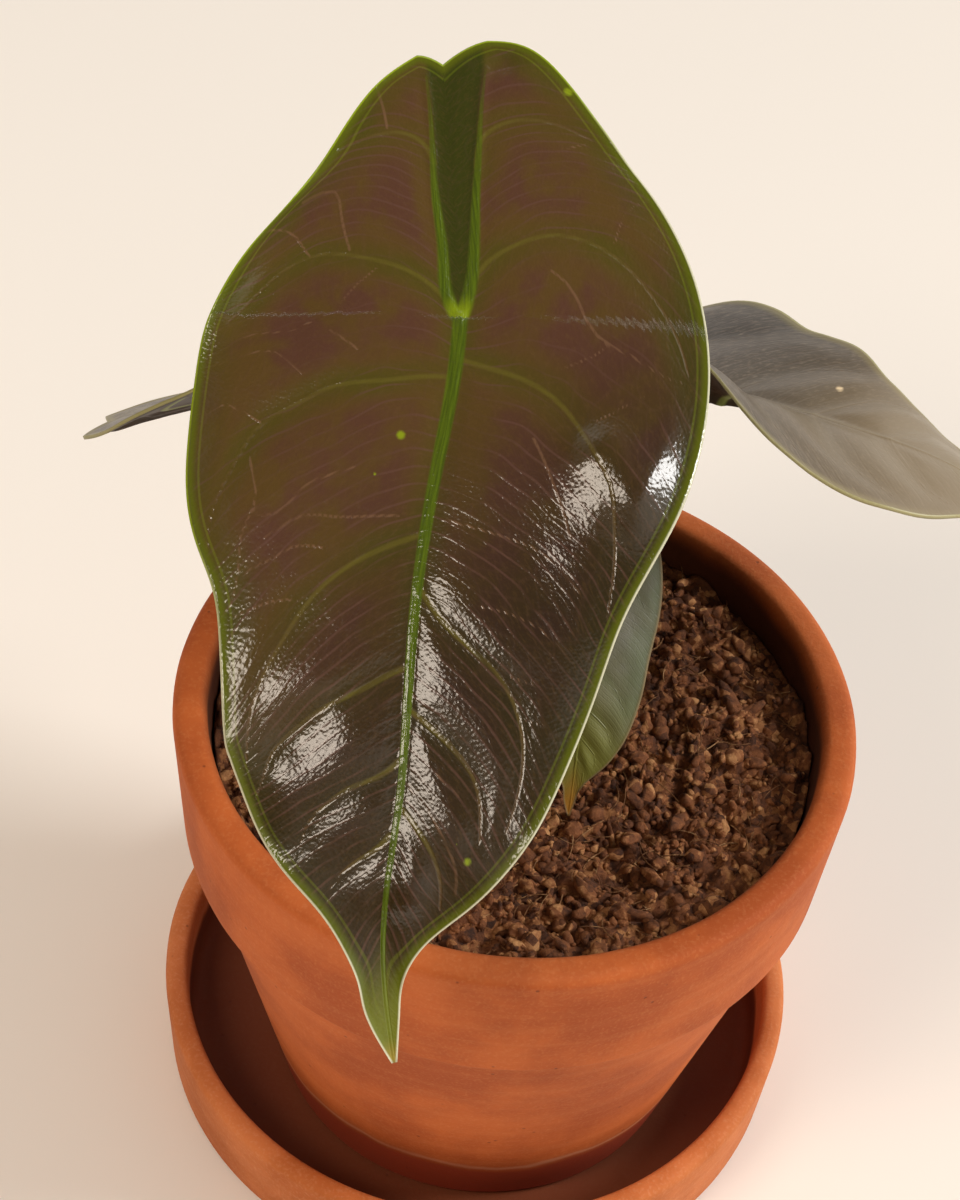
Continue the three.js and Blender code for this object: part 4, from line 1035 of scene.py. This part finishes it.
class OBJECT_OT_stalks(bpy.types.Operator):
    """Make the short stem and the three leaf stalks"""
    bl_idname = "alocasia.stalks"
    bl_label = "Stem and stalks"

    def execute(self, context):
        bark = plant_skin("stem bark", "#4A3A22", "#7A6A40", 0.4, 0.75)
        green = plant_skin("leaf stalk skin", "#5E7A28", "#8CA24A", 0.7, 0.4)
        profile = [Vector((0, 74))]
        for k in range(61):
            share = k / 60
            body = 9.5 * (0.72 + 0.28 * math.sin(math.pi * min(1, share * 0.9)))
            ringed = body - 0.35 + 0.35 * math.cos(14 * math.pi * share)
            profile.append(Vector((ringed, 75.5 + 33.9 * share)))
        profile += [Vector((7.4, 110.6)), Vector((4.3, 111.6)), Vector((0, 112))]
        bm = spun(profile, STEM_AXIS, 64, False)
        finish_piece("stem_bark", bm, [bark], "stem")
        for name, leaf, bearing, node in (
            ("main_stalk", MAIN_LEAF, 205, "main_petiole"), ("back_stalk", BACK_LEAF, 95, "back_petiole"),
            ("small_stalk", SMALL_LEAF, 330, "small_petiole"),
        ):
            finish_piece(name, self.stalk(leaf, bearing), [green], node)
        return {"FINISHED"}

    def stalk(self, leaf, bearing):
        """A round stalk bent from the stem to the underside of its blade, leaving the stem at a bearing"""
        surface = LeafSurface(leaf)
        out = np.array([math.cos(math.radians(bearing)), math.sin(math.radians(bearing)), 0])
        foot = np.array([STEM_AXIS[0], STEM_AXIS[1], STALK_FOOT]) + out * STALK_RING
        joint = surface.midrib(np.array(0.0))
        normal = surface.directions(np.array(0.0))[1]
        length = np.linalg.norm(joint - foot)
        depth = BLADE_THICKNESS + RIB_HEIGHT * leaf["scale"] * 0.9 + 0.35
        pulls = [foot, foot + out * 0.16 * length + np.array([0, 0, 0.4 * length]),
                 joint - normal * 0.3 * length, joint - normal * depth]
        steps, sides = 48, 28
        bm = bmesh.new()
        ring = bmesh.ops.create_circle(bm, cap_ends=True, segments=sides, radius=1.0)["verts"]
        rings = [ring]
        face = ring[0].link_faces[0]
        for _ in range(steps):
            grown = bmesh.ops.extrude_face_region(bm, geom=[face])["geom"]
            face = next(g for g in grown if isinstance(g, bmesh.types.BMFace))
            rings.append(list(face.verts))
        for i, verts in enumerate(rings):
            t = i / steps
            weights = [(1 - t) ** 3, 3 * t * (1 - t) ** 2, 3 * t * t * (1 - t), t ** 3]
            slopes = [-3 * (1 - t) ** 2, 3 * (1 - t) ** 2 - 6 * t * (1 - t),
                      6 * t * (1 - t) - 3 * t * t, 3 * t * t]
            middle = sum(w * p for w, p in zip(weights, pulls))
            forward = sum(s * p for s, p in zip(slopes, pulls))
            forward /= np.linalg.norm(forward)
            aside = np.cross([0.0, 1.0, 0.0], forward)
            aside /= np.linalg.norm(aside)
            ahead = np.cross(forward, aside)
            radius = STALK_FOOT_RADIUS + (STALK_TOP_RADIUS - STALK_FOOT_RADIUS) * t ** 0.7
            radius *= SMALL_STALK_SHARE if leaf["scale"] < 1 else 1.0
            centre = sum((v.co for v in verts), Vector()) / len(verts)
            for vert in verts:
                turn = math.atan2(vert.co.y - centre.y, vert.co.x - centre.x)
                girth = radius * (1 - 0.035 * math.cos(7 * turn))
                point = middle + aside * girth * math.cos(turn) + ahead * girth * math.sin(turn)
                vert.co = Vector(point.tolist()) * MM
        bmesh.ops.recalc_face_normals(bm, faces=bm.faces)
        return bm


class OBJECT_OT_blades(bpy.types.Operator):
    """Make the three leaf blades with their veins, puckers and rims"""
    bl_idname = "alocasia.blades"
    bl_label = "Leaf blades"

    def execute(self, context):
        blade = context.scene.alocasia_blade
        common = {
            "across": blade.across, "along": blade.along, "swell": blade.swell, "pucker": blade.pucker,
            "quilt": 0.6, "billow": 0.3, "ripple": 0.5, "veins": None, "minor": [], "spots": [],
            "swellings": [],
        }
        build_blade("main_leaf_blade", MAIN_LEAF, dict(
            common, veins=MAIN_VEINS, minor=MINOR_VEINS, spots=MAIN_SPOTS, swellings=MAIN_SWELLINGS,
            quilt=0.15, node="main_blade", slot="leaf_bronze",
            materials=[
                leaf_top("bronze leaf skin", MAIN_LOOK), leaf_under("bronze leaf underside", MAIN_LOOK),
            ],
        ))
        build_blade("back_leaf_blade", BACK_LEAF, dict(
            # The back blade's one pale spot is a painted highlight, a small glint
            common, across=140, along=220, swell=0.6, spots=[(9.0, 84.0, 0.9)], node="back_blade",
            slot="leaf_grey",
            materials=[
                leaf_top("grey-brown leaf skin", BACK_LOOK), leaf_under("dark leaf underside", BACK_LOOK),
            ],
        ))
        build_blade("small_leaf_blade", SMALL_LEAF, dict(
            common, across=96, along=150, swell=0.5, billow=0.8, ripple=0.3, node="small_blade",
            slot="leaf_young",
            materials=[
                leaf_top("young leaf skin", SMALL_LOOK), leaf_under("young leaf underside", SMALL_LOOK),
            ],
        ))
        return {"FINISHED"}


class OBJECT_OT_stage(bpy.types.Operator):
    """Set the pale floor, the soft lights and the camera"""
    bl_idname = "alocasia.stage"
    bl_label = "Floor, light and camera"

    def execute(self, context):
        stage = context.scene.alocasia_stage
        context.scene.view_settings.view_transform = "Standard"
        self.floor(stage)
        self.lights(stage)
        self.camera(context.scene)
        return {"FINISHED"}

    def floor(self, stage):
        bm = bmesh.new()
        bmesh.ops.create_grid(bm, x_segments=1, y_segments=1, size=4.0)
        mesh = bpy.data.meshes.new("table_top")
        bm.to_mesh(mesh)
        bm.free()
        material, add = new_material("matt painted table")
        add("OutputMaterial", add("BsdfPrincipled", named={
            "Base Color": linear(stage.floor_colour), "Roughness": 0.85, "Specular IOR Level": 0.2,
        }))
        mesh.materials.append(material)
        floor = bpy.data.objects.new("table_top", mesh)
        bpy.context.scene.collection.objects.link(floor)

    def lights(self, stage):
        """A pale room, dark overhead, with a long soft box at the front left and a window at the right"""
        world = bpy.data.worlds.new("soft room")
        world.use_nodes = True
        tree = world.node_tree
        tree.nodes.clear()
        facing = add_node(tree, "TexCoord").outputs["Generated"]
        up = add_node(tree, "SeparateXYZ", facing).outputs[2]
        dim = add_node(tree, "MapRange", up, 0.62, 0.85, stage.room_light, stage.room_light * 0.12,
                       **SOFT)
        to_right = add_node(tree, "VectorMath", facing, (0.8, 0.6, 0.7), operation="DOT_PRODUCT")
        side = add_node(tree, "MapRange", to_right.outputs["Value"], -0.8, 0.5, 0.05, 1.1)
        tone = add_node(tree, "Mix", side, linear("#FFCF9E"), linear("#FFF8F0"), **TINT)
        room = add_node(tree, "Background", tone, add_node(tree, "Math", dim, side, **TIMES))
        add_node(tree, "OutputWorld", room)
        bpy.context.scene.world = world
        for name, place, target, power, wide, deep, colour in (
            ("soft_box", (-0.67, -0.68, 1.05), (-0.67, -0.68, 0.0), stage.box_power, 0.70, 0.36, "#FFF0DE"),
            ("window", (2.10, 0.15, 1.75), (0.0, 0.0, 0.15), stage.window_power, 0.80, 0.80, "#FFFEFC"),
        ):
            light = bpy.data.lights.new(name, "AREA")
            light.energy = power
            light.shape = "RECTANGLE"
            light.size = wide
            light.size_y = deep
            light.color = linear(colour)[:3]
            lamp = bpy.data.objects.new(name, light)
            aim = Vector(target) - Vector(place)
            facing_target = aim.to_track_quat("-Z", "Y").to_matrix().to_4x4()
            lamp.matrix_world = Matrix.Translation(place) @ facing_target
            bpy.context.scene.collection.objects.link(lamp)

    def camera(self, scene):
        """Camera at the photo's place: bearing, height and roll in degrees, lens for a 36 mm long side"""
        bearing, height, roll = (math.radians(a) for a in CAMERA_TURNS)
        back = Vector((math.cos(height) * math.sin(bearing), -math.cos(height) * math.cos(bearing),
                       math.sin(height)))
        level = Vector((math.cos(bearing), math.sin(bearing), 0))
        upright = back.cross(level)
        right = level * math.cos(roll) + upright * math.sin(roll)
        up = upright * math.cos(roll) - level * math.sin(roll)
        camera = bpy.data.cameras.new("camera")
        camera.sensor_fit = "VERTICAL"
        camera.sensor_height = FILM_HEIGHT
        camera.sensor_width = FILM_HEIGHT * PHOTO_WIDTH / PHOTO_HEIGHT
        camera.lens = CAMERA_LENS
        camera.clip_start = 0.01
        holder = bpy.data.objects.new("camera", camera)
        place = Vector(CAMERA_PLACE) * MM
        holder.matrix_world = Matrix.Translation(place) @ Matrix((right, up, back)).transposed().to_4x4()
        scene.collection.objects.link(holder)
        scene.camera = holder


class VIEW3D_PT_alocasia(bpy.types.Panel):
    """The settings and the steps that make the plant"""
    bl_label = "Potted alocasia"
    bl_idname = "VIEW3D_PT_alocasia"
    bl_space_type = "VIEW_3D"
    bl_region_type = "UI"
    bl_category = "Alocasia"

    def draw(self, context):
        layout = self.layout
        for name in SETTINGS:
            group = getattr(context.scene, name)
            box = layout.box()
            for setting in group.bl_rna.properties:
                if setting.identifier not in {"rna_type", "name"}:
                    box.prop(group, setting.identifier)
        for step in STEPS:
            layout.operator(step.bl_idname)


SETTINGS = {
    "alocasia_clay": ClaySettings,
    "alocasia_soil": SoilSettings,
    "alocasia_blade": BladeSettings,
    "alocasia_stage": StageSettings,
}
STEPS = (OBJECT_OT_stage, OBJECT_OT_clay, OBJECT_OT_soil, OBJECT_OT_stalks, OBJECT_OT_blades)


def register():
    for kind in (*SETTINGS.values(), *STEPS, VIEW3D_PT_alocasia):
        bpy.utils.register_class(kind)
    for name, kind in SETTINGS.items():
        setattr(bpy.types.Scene, name, bpy.props.PointerProperty(type=kind))


def unregister():
    for name in SETTINGS:
        delattr(bpy.types.Scene, name)
    for kind in reversed((*SETTINGS.values(), *STEPS, VIEW3D_PT_alocasia)):
        bpy.utils.unregister_class(kind)


def main():
    register()
    bpy.ops.alocasia.stage()
    bpy.ops.alocasia.clay()
    bpy.ops.alocasia.soil()
    bpy.ops.alocasia.stalks()
    bpy.ops.alocasia.blades()


if __name__ == "__main__":
    main()
